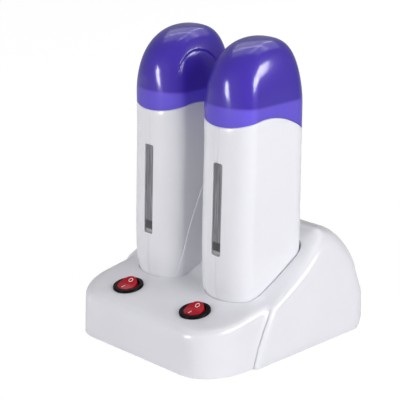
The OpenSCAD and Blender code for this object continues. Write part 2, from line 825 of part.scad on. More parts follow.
module switch_plunger(side) {
    color("ivory") on_deck(side) translate([0, 0, hinge_z]) rotate([rocker_tilt, 0, 0]) {
        translate([0, 0, plunger_z]) cylinder(h = -1.7 - plunger_z, r = plunger_r);
        translate([0, 0, plunger_z]) sphere(r = plunger_r - 0.01);
    }
}

module switch_lever(side) {
    color("goldenrod") on_deck(side) translate([0, 0, lever_z]) rotate([-lever_tilt, 0, 0]) {
        bar_x(-2.2, 2.2, pivot_r);
        translate([-2, -lever_half, -0.4]) cube([4, 2 * lever_half, 0.8]);
    }
}

// ---- leads in the station ----

trunk_z = 7.5;
splice_size = [6, 6, 4];
splice_in = 2.5;   // where a lead starts, from the splice's middle
tail_y = back_y - base_wall - 18.4;
pin_tail_z = cradle_z - pin_down - 1.1;

// The place under a switch's tab, in the station
function tab_end(y) = let (z = -barrel_l - tab_out - 1)
    [0, switch_y - z * sin(deck_tilt) + y * cos(deck_tilt), deck_h + z * cos(deck_tilt) + y * sin(deck_tilt)];

module lead_live() {
    color("sienna") station() {
        x = inlet_pitch / 2;
        at = [x, nose_y - 8, trunk_z];
        t = tab_end(0);
        splice(at);
        lead([[x, tail_y - 0.5, inlet_z], [x, tail_y - 8, trunk_z], at + [0, splice_in, 0]]);
        for (s = [-1, 1])
            lead([at + [s * splice_in, 0, 0], [s * (pod_x - 6), nose_y - 9, trunk_z], [s * pod_x, t.y, t.z]]);
    }
}

module lead_neutral() {
    color("royalblue") station() {
        x = -inlet_pitch / 2;
        at = [x, mid_y + 12, trunk_z + 2.5];
        pin_x = pod_x - pin_pitch / 2;
        splice(at);
        lead([[x, tail_y - 0.5, inlet_z], [x, tail_y - 8, at.z], at + [0, splice_in, 0]]);
        for (s = [-1, 1])
            lead([at + [s * splice_in, 0, 0], [s * (pin_x - 6), mid_y + 11, at.z], [s * pin_x, mid_y, pin_tail_z]]);
    }
}

module lead_switched() {
    color("dimgray") station() for (s = [-1, 1]) {
        t = tab_end(lever_half - 0.5);
        lead([[s * pod_x, t.y, t.z], [s * (pod_x + 9), nose_y + 4, trunk_z],
              [s * (pod_x + pin_pitch / 2), mid_y, pin_tail_z]]);
    }
}

// ---- one line for each sub-part ----

base_shell();
base_plate();
base_feet();
base_screws();
mains_inlet();
inlet_pins();
lead_live();
lead_neutral();
lead_switched();
cradle_screws();
cradle_block(LEFT);  // left_cradle_block
cradle_pins(LEFT);  // left_cradle_pins
cradle_block(RIGHT);  // right_cradle_block
cradle_pins(RIGHT);  // right_cradle_pins
switch_housing(LEFT);  // left_switch_housing
switch_terminals(LEFT);  // left_switch_terminals
switch_rocker(LEFT);  // left_switch_rocker
switch_plunger(LEFT);  // left_switch_plunger
switch_lever(LEFT);  // left_switch_lever
switch_housing(RIGHT);  // right_switch_housing
switch_terminals(RIGHT);  // right_switch_terminals
switch_rocker(RIGHT);  // right_switch_rocker
switch_plunger(RIGHT);  // right_switch_plunger
switch_lever(RIGHT);  // right_switch_lever
pod(LEFT) outer_shell();  // left_outer_shell
pod(LEFT) grip_shell();  // left_grip_shell
pod(LEFT) window_lens();  // left_window_lens
pod(LEFT) wax_chamber();  // left_wax_chamber
pod(LEFT) collar();  // left_collar
pod(LEFT) heating_plate();  // left_heating_plate
pod(LEFT) plate_clamp();  // left_plate_clamp
pod(LEFT) thermostat();  // left_thermostat
pod(LEFT) thermal_fuse();  // left_thermal_fuse
pod(LEFT) contact_block();  // left_contact_block
pod(LEFT) contact_sockets();  // left_contact_sockets
pod(LEFT) leads();  // left_leads
pod(LEFT) shell_screws();  // left_shell_screws
pod(LEFT) cartridge_spring();  // left_cartridge_spring
pod(LEFT) cap();  // left_cap
pod(RIGHT) outer_shell();  // right_outer_shell
pod(RIGHT) grip_shell();  // right_grip_shell
pod(RIGHT) window_lens();  // right_window_lens
pod(RIGHT) wax_chamber();  // right_wax_chamber
pod(RIGHT) collar();  // right_collar
pod(RIGHT) heating_plate();  // right_heating_plate
pod(RIGHT) plate_clamp();  // right_plate_clamp
pod(RIGHT) thermostat();  // right_thermostat
pod(RIGHT) thermal_fuse();  // right_thermal_fuse
pod(RIGHT) contact_block();  // right_contact_block
pod(RIGHT) contact_sockets();  // right_contact_sockets
pod(RIGHT) leads();  // right_leads
pod(RIGHT) shell_screws();  // right_shell_screws
pod(RIGHT) cartridge_spring();  // right_cartridge_spring
pod(RIGHT) cap();  // right_cap
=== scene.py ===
"""Looks for a double roll-on wax heater on its mains station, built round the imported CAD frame.

Every size is in millimetres and in the station's frame: X across the station, -Y the front with
the switches, +Z up. Meshes are made in that frame and scaled to metres as the last step.
"""

from __future__ import annotations

import logging
import math
from dataclasses import dataclass, field, replace
from enum import Enum
from typing import Callable, Sequence

import bmesh
import bpy
from mathutils import Matrix, Vector


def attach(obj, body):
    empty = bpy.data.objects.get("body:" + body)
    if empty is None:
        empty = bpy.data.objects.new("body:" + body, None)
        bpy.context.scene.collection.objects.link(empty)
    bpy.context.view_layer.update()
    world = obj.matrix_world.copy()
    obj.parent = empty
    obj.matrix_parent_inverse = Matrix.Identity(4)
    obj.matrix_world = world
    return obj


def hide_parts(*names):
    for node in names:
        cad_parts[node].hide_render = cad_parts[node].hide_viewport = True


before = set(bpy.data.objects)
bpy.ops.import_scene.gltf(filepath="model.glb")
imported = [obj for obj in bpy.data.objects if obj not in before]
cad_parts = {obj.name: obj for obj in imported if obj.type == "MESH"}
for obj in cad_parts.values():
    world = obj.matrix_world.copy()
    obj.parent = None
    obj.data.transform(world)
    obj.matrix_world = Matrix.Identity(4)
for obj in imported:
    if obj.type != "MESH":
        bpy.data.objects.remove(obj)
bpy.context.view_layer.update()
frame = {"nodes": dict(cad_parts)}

LOG = logging.getLogger("wax_heater")
METRES = 0.001
SKIN = "_skin"
Ring = list[Vector]
Points = list[tuple[float, float]]


class Side(Enum):
    """The two places of the station, as the sign of X."""

    LEFT = -1
    RIGHT = 1

    @property
    def word(self) -> str:
        """The side's name in piece and body names."""
        return self.name.lower()


# ---------------------------------------------------------------- outlines


def arc(cx: float, cy: float, rx: float, ry: float, start: float, end: float, steps: int) -> Points:
    """Points along an arc of an ellipse.

    Args:
        cx: Middle of the ellipse, first axis.
        cy: Middle of the ellipse, second axis.
        rx: Half-axis along the first axis.
        ry: Half-axis along the second axis.
        start: First angle, in degrees.
        end: Last angle, in degrees.
        steps: Number of equal steps between them.

    Returns:
        The points, first and last included.
    """
    angles = [math.radians(start + (end - start) * i / steps) for i in range(steps + 1)]
    return [(cx + rx * math.cos(a), cy + ry * math.sin(a)) for a in angles]


def line(a: tuple[float, float], b: tuple[float, float], steps: int) -> Points:
    """Points between a and b, without the two ends."""
    return [(a[0] + (b[0] - a[0]) * i / steps, a[1] + (b[1] - a[1]) * i / steps) for i in range(1, steps)]


def closed(parts: Sequence[Points], steps: Sequence[int]) -> Points:
    """Joins arcs into one closed outline with points along the straight runs between them.

    Args:
        parts: The arcs, in order round the outline.
        steps: How many steps the straight run after each arc has.

    Returns:
        The outline's points.
    """
    outline: Points = []
    for i, part in enumerate(parts):
        outline += part
        outline += line(part[-1], parts[(i + 1) % len(parts)][0], steps[i])
    return outline


def at_height(outline: Points, z: float | Callable[[float], float]) -> Ring:
    """The outline as a ring in space.

    Args:
        outline: Points in plan.
        z: One height, or a function that gives the height at each y.

    Returns:
        The ring's points.
    """
    return [Vector((x, y, z(y) if callable(z) else z)) for x, y in outline]


# ---------------------------------------------------------------- mesh helpers


def loft(rings: Sequence[Ring], close_start: bool = True, close_end: bool = True) -> bmesh.types.BMesh:
    """Draws a skin over rings with the same number of points, one extrusion per ring.

    Args:
        rings: The rings, from first to last.
        close_start: Whether the first ring is filled.
        close_end: Whether the last ring is filled.

    Returns:
        The skin, in millimetres.
    """
    mesh = bmesh.new()
    place = mesh.verts.layers.int.new("place")
    verts = bmesh.ops.create_circle(mesh, segments=len(rings[0]), radius=1, cap_ends=False)["verts"]
    for i, vert in enumerate(verts):
        vert[place] = i
        vert.co = rings[0][i]
    first = edges = list(mesh.edges)
    for ring in rings[1:]:
        made = bmesh.ops.extrude_edge_only(mesh, edges=edges)["geom"]
        edges = [g for g in made if isinstance(g, bmesh.types.BMEdge)]
        for vert in (g for g in made if isinstance(g, bmesh.types.BMVert)):
            vert.co = ring[vert[place]]
    if close_start:
        bmesh.ops.contextual_create(mesh, geom=first)
    if close_end:
        bmesh.ops.contextual_create(mesh, geom=edges)
    bmesh.ops.recalc_face_normals(mesh, faces=mesh.faces)
    return mesh


def tube(rings: Sequence[Ring]) -> bmesh.types.BMesh:
    """A skin whose last ring joins its first, such as a wall with its two faces and two edges."""
    mesh = loft(rings, close_start=False, close_end=False)
    loose = [e for e in mesh.edges if e.is_boundary]
    bmesh.ops.bridge_loops(mesh, edges=loose)
    bmesh.ops.recalc_face_normals(mesh, faces=mesh.faces)
    return mesh


def prism(outline: Points, start: float, end: float, axis: str = "z") -> bmesh.types.BMesh:
    """A straight block with an outline.

    Args:
        outline: Its outline. Across x, the points are (y, z).
        start: Where it starts along the axis.
        end: Where it ends along the axis.
        axis: "z" for an outline in plan, or "x" for one seen from the side.

    Returns:
        The block.
    """
    def ring(at: float) -> Ring:
        return [Vector((p[0], p[1], at)) if axis == "z" else Vector((at, p[0], p[1])) for p in outline]

    return loft([ring(start), ring(end)])


def lathe(profile: Points, steps: int = 72) -> bmesh.types.BMesh:
    """A turned form about Z.

    Args:
        profile: Points (radius, height), from the axis or from an edge round to where it started.
        steps: Number of steps round the axis.

    Returns:
        The turned form.
    """
    mesh = bmesh.new()
    verts = [mesh.verts.new((r, 0, z)) for r, z in profile]
    edges = [mesh.edges.new(pair) for pair in zip(verts, verts[1:])]
    bmesh.ops.spin(mesh, geom=verts + edges, angle=math.tau, axis=(0, 0, 1), steps=steps, use_merge=True)
    bmesh.ops.remove_doubles(mesh, verts=mesh.verts, dist=1e-4)
    bmesh.ops.recalc_face_normals(mesh, faces=mesh.faces)
    return mesh


def moved(mesh: bmesh.types.BMesh, matrix: Matrix) -> bmesh.types.BMesh:
    """The same mesh after a transform; a mirrored one has its faces turned back."""
    bmesh.ops.transform(mesh, matrix=matrix, verts=mesh.verts)
    if matrix.determinant() < 0:
        bmesh.ops.reverse_faces(mesh, faces=mesh.faces)
    return mesh


def joined(meshes: Sequence[bmesh.types.BMesh]) -> bmesh.types.BMesh:
    """Several meshes as one, each still closed by itself."""
    whole = bmesh.new()
    for mesh in meshes:
        part = bpy.data.meshes.new("part")
        mesh.to_mesh(part)
        whole.from_mesh(part)
        mesh.free()
        bpy.data.meshes.remove(part)
    return whole


def to_object(name: str, mesh: bmesh.types.BMesh) -> bpy.types.Object:
    """Puts a mesh into the scene, in metres, smooth shaded."""
    bmesh.ops.scale(mesh, vec=(METRES,) * 3, verts=mesh.verts)
    for face in mesh.faces:
        face.smooth = True
    data = bpy.data.meshes.new(name)
    mesh.to_mesh(data)
    mesh.free()
    piece = bpy.data.objects.new(name, data)
    bpy.context.scene.collection.objects.link(piece)
    return piece


def cut(piece: bpy.types.Object, *cutters: bmesh.types.BMesh, keep: bool = False) -> None:
    """Cuts closed forms out of a piece, or keeps only what lies in them.

    Args:
        piece: The piece, whose mesh is closed.
        cutters: The forms, in millimetres.
        keep: Whether the common part is kept instead.
    """
    for cutter in cutters:
        tool = to_object("cutter", cutter)
        step = piece.modifiers.new("cut", "BOOLEAN")
        step.operation = "INTERSECT" if keep else "DIFFERENCE"
        step.solver = "EXACT"
        step.object = tool
        freeze(piece)
        bpy.data.objects.remove(tool)


def freeze(piece: bpy.types.Object) -> None:
    """Makes a piece's modifiers part of its mesh."""
    bpy.context.view_layer.update()
    graph = bpy.context.evaluated_depsgraph_get()
    data = bpy.data.meshes.new_from_object(piece.evaluated_get(graph), depsgraph=graph)
    old = piece.data
    piece.modifiers.clear()
    piece.data = data
    bpy.data.meshes.remove(old)
    data.name = piece.name


def shade(piece: bpy.types.Object, sharp: float = 32.0, rounding: float = 0.0, segments: int = 2) -> None:
    """Finishes the edges of a piece.

    Args:
        piece: The piece.
        sharp: Edges that turn by more than this many degrees stay sharp.
        rounding: Radius of the rounding on such edges, or 0 for none.
        segments: Number of steps in that rounding.
    """
    if rounding:
        step = piece.modifiers.new("rounding", "BEVEL")
        step.width = rounding * METRES
        step.segments = segments
        step.limit_method = "ANGLE"
        step.angle_limit = math.radians(sharp)
        step.use_clamp_overlap = True
        step.harden_normals = False
        freeze(piece)
    mesh = bmesh.new()
    mesh.from_mesh(piece.data)
    for face in mesh.faces:
        face.smooth = True
    for edge in mesh.edges:
        edge.smooth = edge.calc_face_angle(0.0) < math.radians(sharp)
    mesh.to_mesh(piece.data)
    mesh.free()


# ---------------------------------------------------------------- heaters


@dataclass(frozen=True)
class PodOutline:
    """Plan of a heater: an oval nose in front, straight sides and a rounded back."""

    width: float = 49.0
    nose_y: float = -37.5
    heel_y: float = 33.0
    nose_depth: float = 15.0
    back_radius: float = 14.0
    nose_steps: int = 44
    corner_steps: int = 12
    side_steps: int = 14
    back_steps: int = 6

    def points(self, grow: float = 0.0, lean: float = 0.0) -> Points:
        """The outline.

        Args:
            grow: How far it stands outside the heater's side.
            lean: How far the nose has moved back.

        Returns:
            Its points, from the left end of the nose round by the right side.
        """
        half, corner = self.width / 2, self.back_radius + grow
        nose = self.nose_y + lean + self.nose_depth
        back = self.heel_y - self.back_radius
        inner = half - self.back_radius
        return closed(
            [arc(0, nose, half + grow, self.nose_depth + grow, 180, 360, self.nose_steps),
             arc(inner, back, corner, corner, 0, 90, self.corner_steps),
             arc(-inner, back, corner, corner, 90, 180, self.corner_steps)],
            [self.side_steps, self.back_steps, self.side_steps])


@dataclass
class Heater:
    """One hand heater: shells, window, chamber, collar and cap, built about its own middle plane."""

    side: Side
    plan: PodOutline = PodOutline()
    middle_x: float = 35.4
    table_z: float = 1.5
    foot_z: float = 28.3
    foot_round: float = 31.7
    foot_tuck: float = 11.0
    wall: float = 2.2
    bow_start: float = 80.0
    bow_end: float = 150.0
    bow_depth: float = 2.2
    shoulder_z: float = 173.3
    shoulder_drop: float = 18.0
    shoulder_edge: float = 0.8
    crest_y: float = -10.65
    collar_top: float = 181.5
    collar_foot: float = 148.3
    chamber_inset: float = 6.0
    chamber_wall: float = 1.2
    chamber_foot: float = 60.0
    cap_gap: float = 0.3
    cap_edge: float = 0.3
    cap_wall: float = 1.6
    dome_z: float = 176.5
    cap_top: float = 225.3
    dome_y: float = 4.6
    dome_roundness: float = 0.7
    window_width: float = 8.7
    window_height: float = 67.7
    window_foot: float = 74.0
    window_corner: float = 1.5
    lens_gap: float = 0.4
    lens_sunk: float = 0.8
    parting: float = 0.04
    grip_step: float = 0.55
    grip_centre: tuple[float, float] = (188.2, -1.1)
    grip_radius: float = 222.0
    grip_foot: float = 20.0
    grip_side: float = 3.0
    grip_root: float = 0.6
    grip_back: float = 27.0
    thumb_slope: float = 0.036
    thumb_edge: float = 1.3
    thumb_side: float = 6.0
    thumb_radius: float = 20.2
    thumb_y: float = -6.0
    thumb_z: float = 183.5
    thumb_top: float = 211.2

    @property
    def place(self) -> Matrix:
        """Moves a form from the heater's own frame to its place; the right heater is mirrored."""
        mirror = Matrix.Diagonal((-self.side.value, 1, 1, 1))
        return Matrix.Translation((self.side.value * self.middle_x, 0, self.table_z)) @ mirror

    def piece(self, part: str, mesh: bmesh.types.BMesh) -> bpy.types.Object:
        """Puts a form at its place in the scene, named after the side and the part."""
        return to_object(f"{self.side.word}_{part}{SKIN}", moved(mesh, self.place))

    def here(self, mesh: bmesh.types.BMesh) -> bmesh.types.BMesh:
        """Moves a cutter from the heater's own frame to its place."""
        return moved(mesh, self.place)

    def bow(self, z: float) -> float:
        """How far the nose has moved back at a height."""
        t = min(1.0, max(0.0, (z - self.bow_start) / (self.bow_end - self.bow_start)))
        return self.bow_depth * t

    def tuck(self, z: float) -> float:
        """How far the rounded foot has drawn in at a height."""
        drop = max(0.0, self.foot_z + self.foot_round - z) / self.foot_round
        return self.foot_tuck * (1 - math.sqrt(max(0.0, 1 - min(1.0, drop) ** 2)))

    def shoulder(self, y: float) -> float:
        """Height of the shoulder's wave at a depth."""
        reach = (y - self.crest_y) / (self.plan.heel_y - self.crest_y)
        return self.shoulder_z - self.shoulder_drop * reach ** 2

    def wall_ring(self, z: float, inset: float) -> Ring:
        """A ring of the shell under its upright part."""
        return at_height(self.plan.points(-self.tuck(z) - inset, self.bow(z)), z)

    def rising(self, inset: float, low: float, high: Callable[[float], float], steps: int) -> list[Ring]:
        """Rings that rise from a level one to one that follows a wave.

        Args:
            inset: How far inside the heater's side they lie.
            low: Height of the level ring.
            high: Height of the wave at each y.
            steps: Number of rings above the level one.

        Returns:
            The rings, without the level one.
        """
        outline = self.plan.points(-inset, self.bow_depth)
        return [at_height(outline, lambda y, t=i / steps: low + (high(y) - low) * t)
                for i in range(1, steps + 1)]

    def shell_rings(self, inset: float, foot: float, edge: float = 0.0) -> list[Ring]:
        """The rings of the whole shell's outside or inside, from its foot to the shoulder.

        Args:
            inset: How far inside the heater's side they lie.
            foot: Height of the lowest ring.
            edge: Radius of the shoulder's rounded edge.

        Returns:
            The rings.
        """
        lift = [0.0, 0.5, 1.6, 3.4, 5.8, 9.0, 13.0, 18.0, 24.0, 31.7, 41.0]
        heights = [foot + h * (self.foot_z + self.foot_round - foot) / self.foot_round for h in lift]
        bend = [self.bow_start + (self.bow_end - self.bow_start) * i / 10 for i in range(11)]
        rings = [self.wall_ring(z, inset) for z in heights + bend] + self.rising(
            inset, self.bow_end, lambda y: self.shoulder(y) - edge, 4)
        for turn in (22.5, 45.0, 67.5, 90.0) if edge else ():
            across, up = 1 - math.cos(math.radians(turn)), math.sin(math.radians(turn)) - 1
            rings.append(at_height(self.plan.points(-inset - edge * across, self.bow_depth),
                                   lambda y, low=edge * up: self.shoulder(y) + low))
        return rings

    def shell(self) -> bmesh.types.BMesh:
        """The whole shell with its wall, before it is parted into halves."""
        outside = self.shell_rings(0.0, self.foot_z, self.shoulder_edge)
        inside = self.shell_rings(self.wall, self.foot_z + self.wall)
        return loft([*inside, *reversed(outside)])

    def window_block(self, gap: float = 0.0, start: float = -50.0, end: float = 0.0) -> bmesh.types.BMesh:
        """The rounded slot of the window, as a block along Y."""
        half_w, half_h = self.window_width / 2 - gap, self.window_height / 2 - gap
        r, mid = self.window_corner, self.window_foot + self.window_height / 2
        x, z = half_w - r, half_h - r
        outline = closed([arc(x, z, r, r, 0, 90, 6), arc(-x, z, r, r, 90, 180, 6),
                          arc(-x, -z, r, r, 180, 270, 6), arc(x, -z, r, r, 270, 360, 6)], [1, 1, 1, 1])
        block = prism(outline, start, end)
        turn = Matrix(((1, 0, 0, 0), (0, 0, 1, 0), (0, 1, 0, mid), (0, 0, 0, 1)))
        bmesh.ops.transform(block, matrix=turn, verts=block.verts)
        bmesh.ops.recalc_face_normals(block, faces=block.faces)
        return block

    def grip_block(self) -> bmesh.types.BMesh:
        """Everything behind the long arc that the grip pad starts at, on the side of the grip half."""
        (y, z), radius = self.grip_centre, self.grip_radius
        low = 180 - math.degrees(math.asin((self.grip_foot - z) / radius))
        high = 180 - math.degrees(math.acos((y - self.grip_back) / radius))
        edge = arc(y, z, radius, radius, low, high, 60)
        corner = (self.grip_back, self.grip_foot)
        return prism([*edge, corner], self.grip_side, self.plan.width, axis="x")

    def build_grip(self) -> bpy.types.Object:
        """The grip pad: a thin raised field on the inner side, whose front edge is one long arc."""
        outside = self.shell_rings(-self.grip_step, self.foot_z)
        inside = self.shell_rings(self.grip_root, self.foot_z + self.grip_root)
        pad = self.piece("grip_pad", loft([*inside, *reversed(outside)]))
        cut(pad, self.here(self.grip_block()), keep=True)
        shade(pad, rounding=self.grip_step * 0.9, segments=3)
        return pad

    def half_block(self, sign: int) -> bmesh.types.BMesh:
        """Everything on one side of the parting plane."""
        big = 260.0
        block = bmesh.new()
        bmesh.ops.create_cube(block, size=1)
        bmesh.ops.scale(block, vec=(big, 2 * big, 2 * big), verts=block.verts)
        bmesh.ops.translate(block, vec=(sign * (big / 2 + self.parting), 0, 0), verts=block.verts)
        return block

    def pin_holes(self) -> bmesh.types.BMesh:
        """The two holes in the foot that the contact pins come through."""
        holes = []
        for x in (-5.0, 5.0):
            hole = prism(arc(x, -2.25, 2.3, 2.3, 0, 345, 23), 20.0, self.foot_z + self.wall + 1)
            holes.append(hole)
        return joined(holes)

    def build_shells(self) -> list[bpy.types.Object]:
        """The outer half and the grip half of the shell.

        Returns:
            The two halves.
        """
        halves = []
        for part, sign in (("outer_shell", -1), ("grip_shell", 1)):
            half = self.piece(part, self.shell())
            cut(half, self.here(self.half_block(sign)), keep=True)
            cut(half, self.here(self.window_block()), self.here(self.pin_holes()))
            halves.append(half)
            shade(half, rounding=0.3)
        return halves

    def build_lens(self) -> bpy.types.Object:
        """The window lens, sunk a little into the shell."""
        low, high = self.window_foot - 8, self.window_foot + self.window_height + 8
        heights = [low + (high - low) * i / 10 for i in range(11)]
        depth = self.wall + self.lens_gap + 1.0
        outside = [self.wall_ring(z, self.lens_sunk) for z in heights]
        inside = [self.wall_ring(z, depth) for z in heights]
        lens = self.piece("window_lens", tube([*outside, *reversed(inside)]))
        cut(lens, self.here(self.window_block(self.lens_gap)), keep=True)
        shade(lens, rounding=0.25)
        return lens

    def build_chamber(self) -> bpy.types.Object:
        """The aluminium liner that the wax cartridge goes into."""
        top = self.collar_top - 3.8
        heights = [self.chamber_foot + (top - self.chamber_foot) * i / 8 for i in range(9)]
        outline = self.plan.points(-self.chamber_inset, self.bow_depth)
        lining = self.plan.points(-self.chamber_inset - self.chamber_wall, self.bow_depth)
        inner = [at_height(lining, max(z, self.chamber_foot + self.chamber_wall)) for z in heights]
        outer = [at_height(outline, z) for z in reversed(heights)]
        chamber = self.piece("wax_chamber", loft([*inner, *outer]))
        slot = bmesh.new()
        bmesh.ops.create_cube(slot, size=1)
        bmesh.ops.scale(slot, vec=(self.window_width - 3, 24, self.window_height - 4), verts=slot.verts)
        middle = (0, self.plan.nose_y + 7, self.window_foot + self.window_height / 2)
        bmesh.ops.translate(slot, vec=middle, verts=slot.verts)
        cut(chamber, self.here(slot))
        shade(chamber)
        return chamber

    def build_collar(self) -> bpy.types.Object:
        """The white collar that the cap fits over."""
        out, lip = self.wall + 0.4, 3.5
        body = min(-out - 2.6, -self.chamber_inset + 0.4)
        mouth = -self.chamber_inset - self.chamber_wall + 0.2
        foot, top = self.collar_foot, self.collar_top
        steps = [(-out, foot), (-out, (foot + top) / 2), (-out, top - 0.8), (-out - 0.25, top - 0.25),
                 (-out - 0.8, top), (mouth + 0.6, top), (mouth, top - 0.6), (mouth, top - lip),
                 (body, top - lip), (body, foot)]
        rings = [at_height(self.plan.points(grow, self.bow_depth), z) for grow, z in steps]
        collar = self.piece("collar", tube(rings))
        shade(collar)
        return collar

    @property
    def fine_plan(self) -> PodOutline:
        """The plan with more points, for the cap."""
        return replace(self.plan, nose_steps=96, corner_steps=26, side_steps=56, back_steps=12)

    def dome_ring(self, t: float, inset: float) -> Ring:
        """A ring of the cap's dome.

        Args:
            t: Its share of the dome's height.
            inset: How far it lies inside the outside.

        Returns:
            The ring.
        """
        def close(p: float, q: float) -> float:
            return max(0.0, 1 - t ** p) ** (1 / q)

        half, height = self.plan.width / 2 - inset, self.cap_top - inset - self.dome_z
        front = self.dome_y - self.plan.nose_y - self.bow_depth - inset
        back = self.plan.heel_y - inset - self.dome_y
        across, ahead, behind = close(2.57, 3.33), close(3.55, 1.9), close(4.1, 2.6)
        ring = []
        for x, y in self.fine_plan.points(-inset, self.bow_depth):
            depth, pull = (front, ahead) if y < self.dome_y else (back, behind)
            corner = max(1.0, math.hypot(x / half, (y - self.dome_y) / depth))
            oval = corner ** (-self.dome_roundness * t * t * (3 - 2 * t))
            ring.append(Vector((x * oval * across, self.dome_y + (y - self.dome_y) * oval * pull,
                                self.dome_z + height * t)))
        return ring

    def cap_rings(self, inset: float, steps: int) -> list[Ring]:
        """The rings of the cap's outside or inside, from its edge to its top.

        Args:
            inset: How far inside the cap's side they lie.
            steps: Number of rings in the dome.

        Returns:
            The rings.
        """
        def edge(y: float) -> float:
            return self.shoulder(y) + self.cap_gap

        outline = self.fine_plan.points(-inset, self.bow_depth)
        skirt = [at_height(outline, lambda y, t=i / 8: edge(y) + (self.dome_z - edge(y)) * t)
                 for i in range(8)]
        turns = [90 * (1 - (1 - i / steps) ** 1.25) for i in range(steps)]
        return skirt + [self.dome_ring(math.sin(math.radians(a)), inset) for a in turns]

    def dented(self, point: Vector) -> Vector:
        """Where a point of the cap's outside lies once the thumb recess is pressed in.

        Args:
            point: The point without the recess.

        Returns:
            The point with it.
        """
        centre = self.thumb_top - self.thumb_radius
        away = math.hypot(point.y - self.thumb_y, max(0.0, point.z - centre))
        share = min(1.0, max(0.0, (self.thumb_radius - away) / self.thumb_edge))
        if point.x < self.thumb_side or point.z < self.thumb_z or not share:
            return point
        depth = self.thumb_slope * (point.z - self.thumb_z) * share * share * (3 - 2 * share)
        return point - Vector((depth, 0, 0))

    def build_cap(self) -> bpy.types.Object:
        """The translucent cap with its wall and its thumb recess."""
        outside = [[self.dented(p) for p in ring] for ring in self.cap_rings(0.0, 96)]
        inside = self.cap_rings(self.cap_wall, 24)
        cap = self.piece("cap", loft([*reversed(inside), *outside]))
        shade(cap, sharp=60.0, rounding=self.cap_edge)
        return cap

    def build(self) -> list[bpy.types.Object]:
        """Builds the heater's visible pieces and sets each on its body.

        Returns:
            The pieces.
        """
        pieces = [*self.build_shells(), self.build_lens(), self.build_chamber(), self.build_collar()]
        pad, cap = self.build_grip(), self.build_cap()
        for piece in [*pieces, pad]:
            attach(piece, f"{self.side.word}_heater")
        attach(cap, f"{self.side.word}_cap")
        for piece in [*pieces, cap]:
            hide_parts(piece.name.removesuffix(SKIN))
        return [*pieces, pad, cap]


# ---------------------------------------------------------------- switches


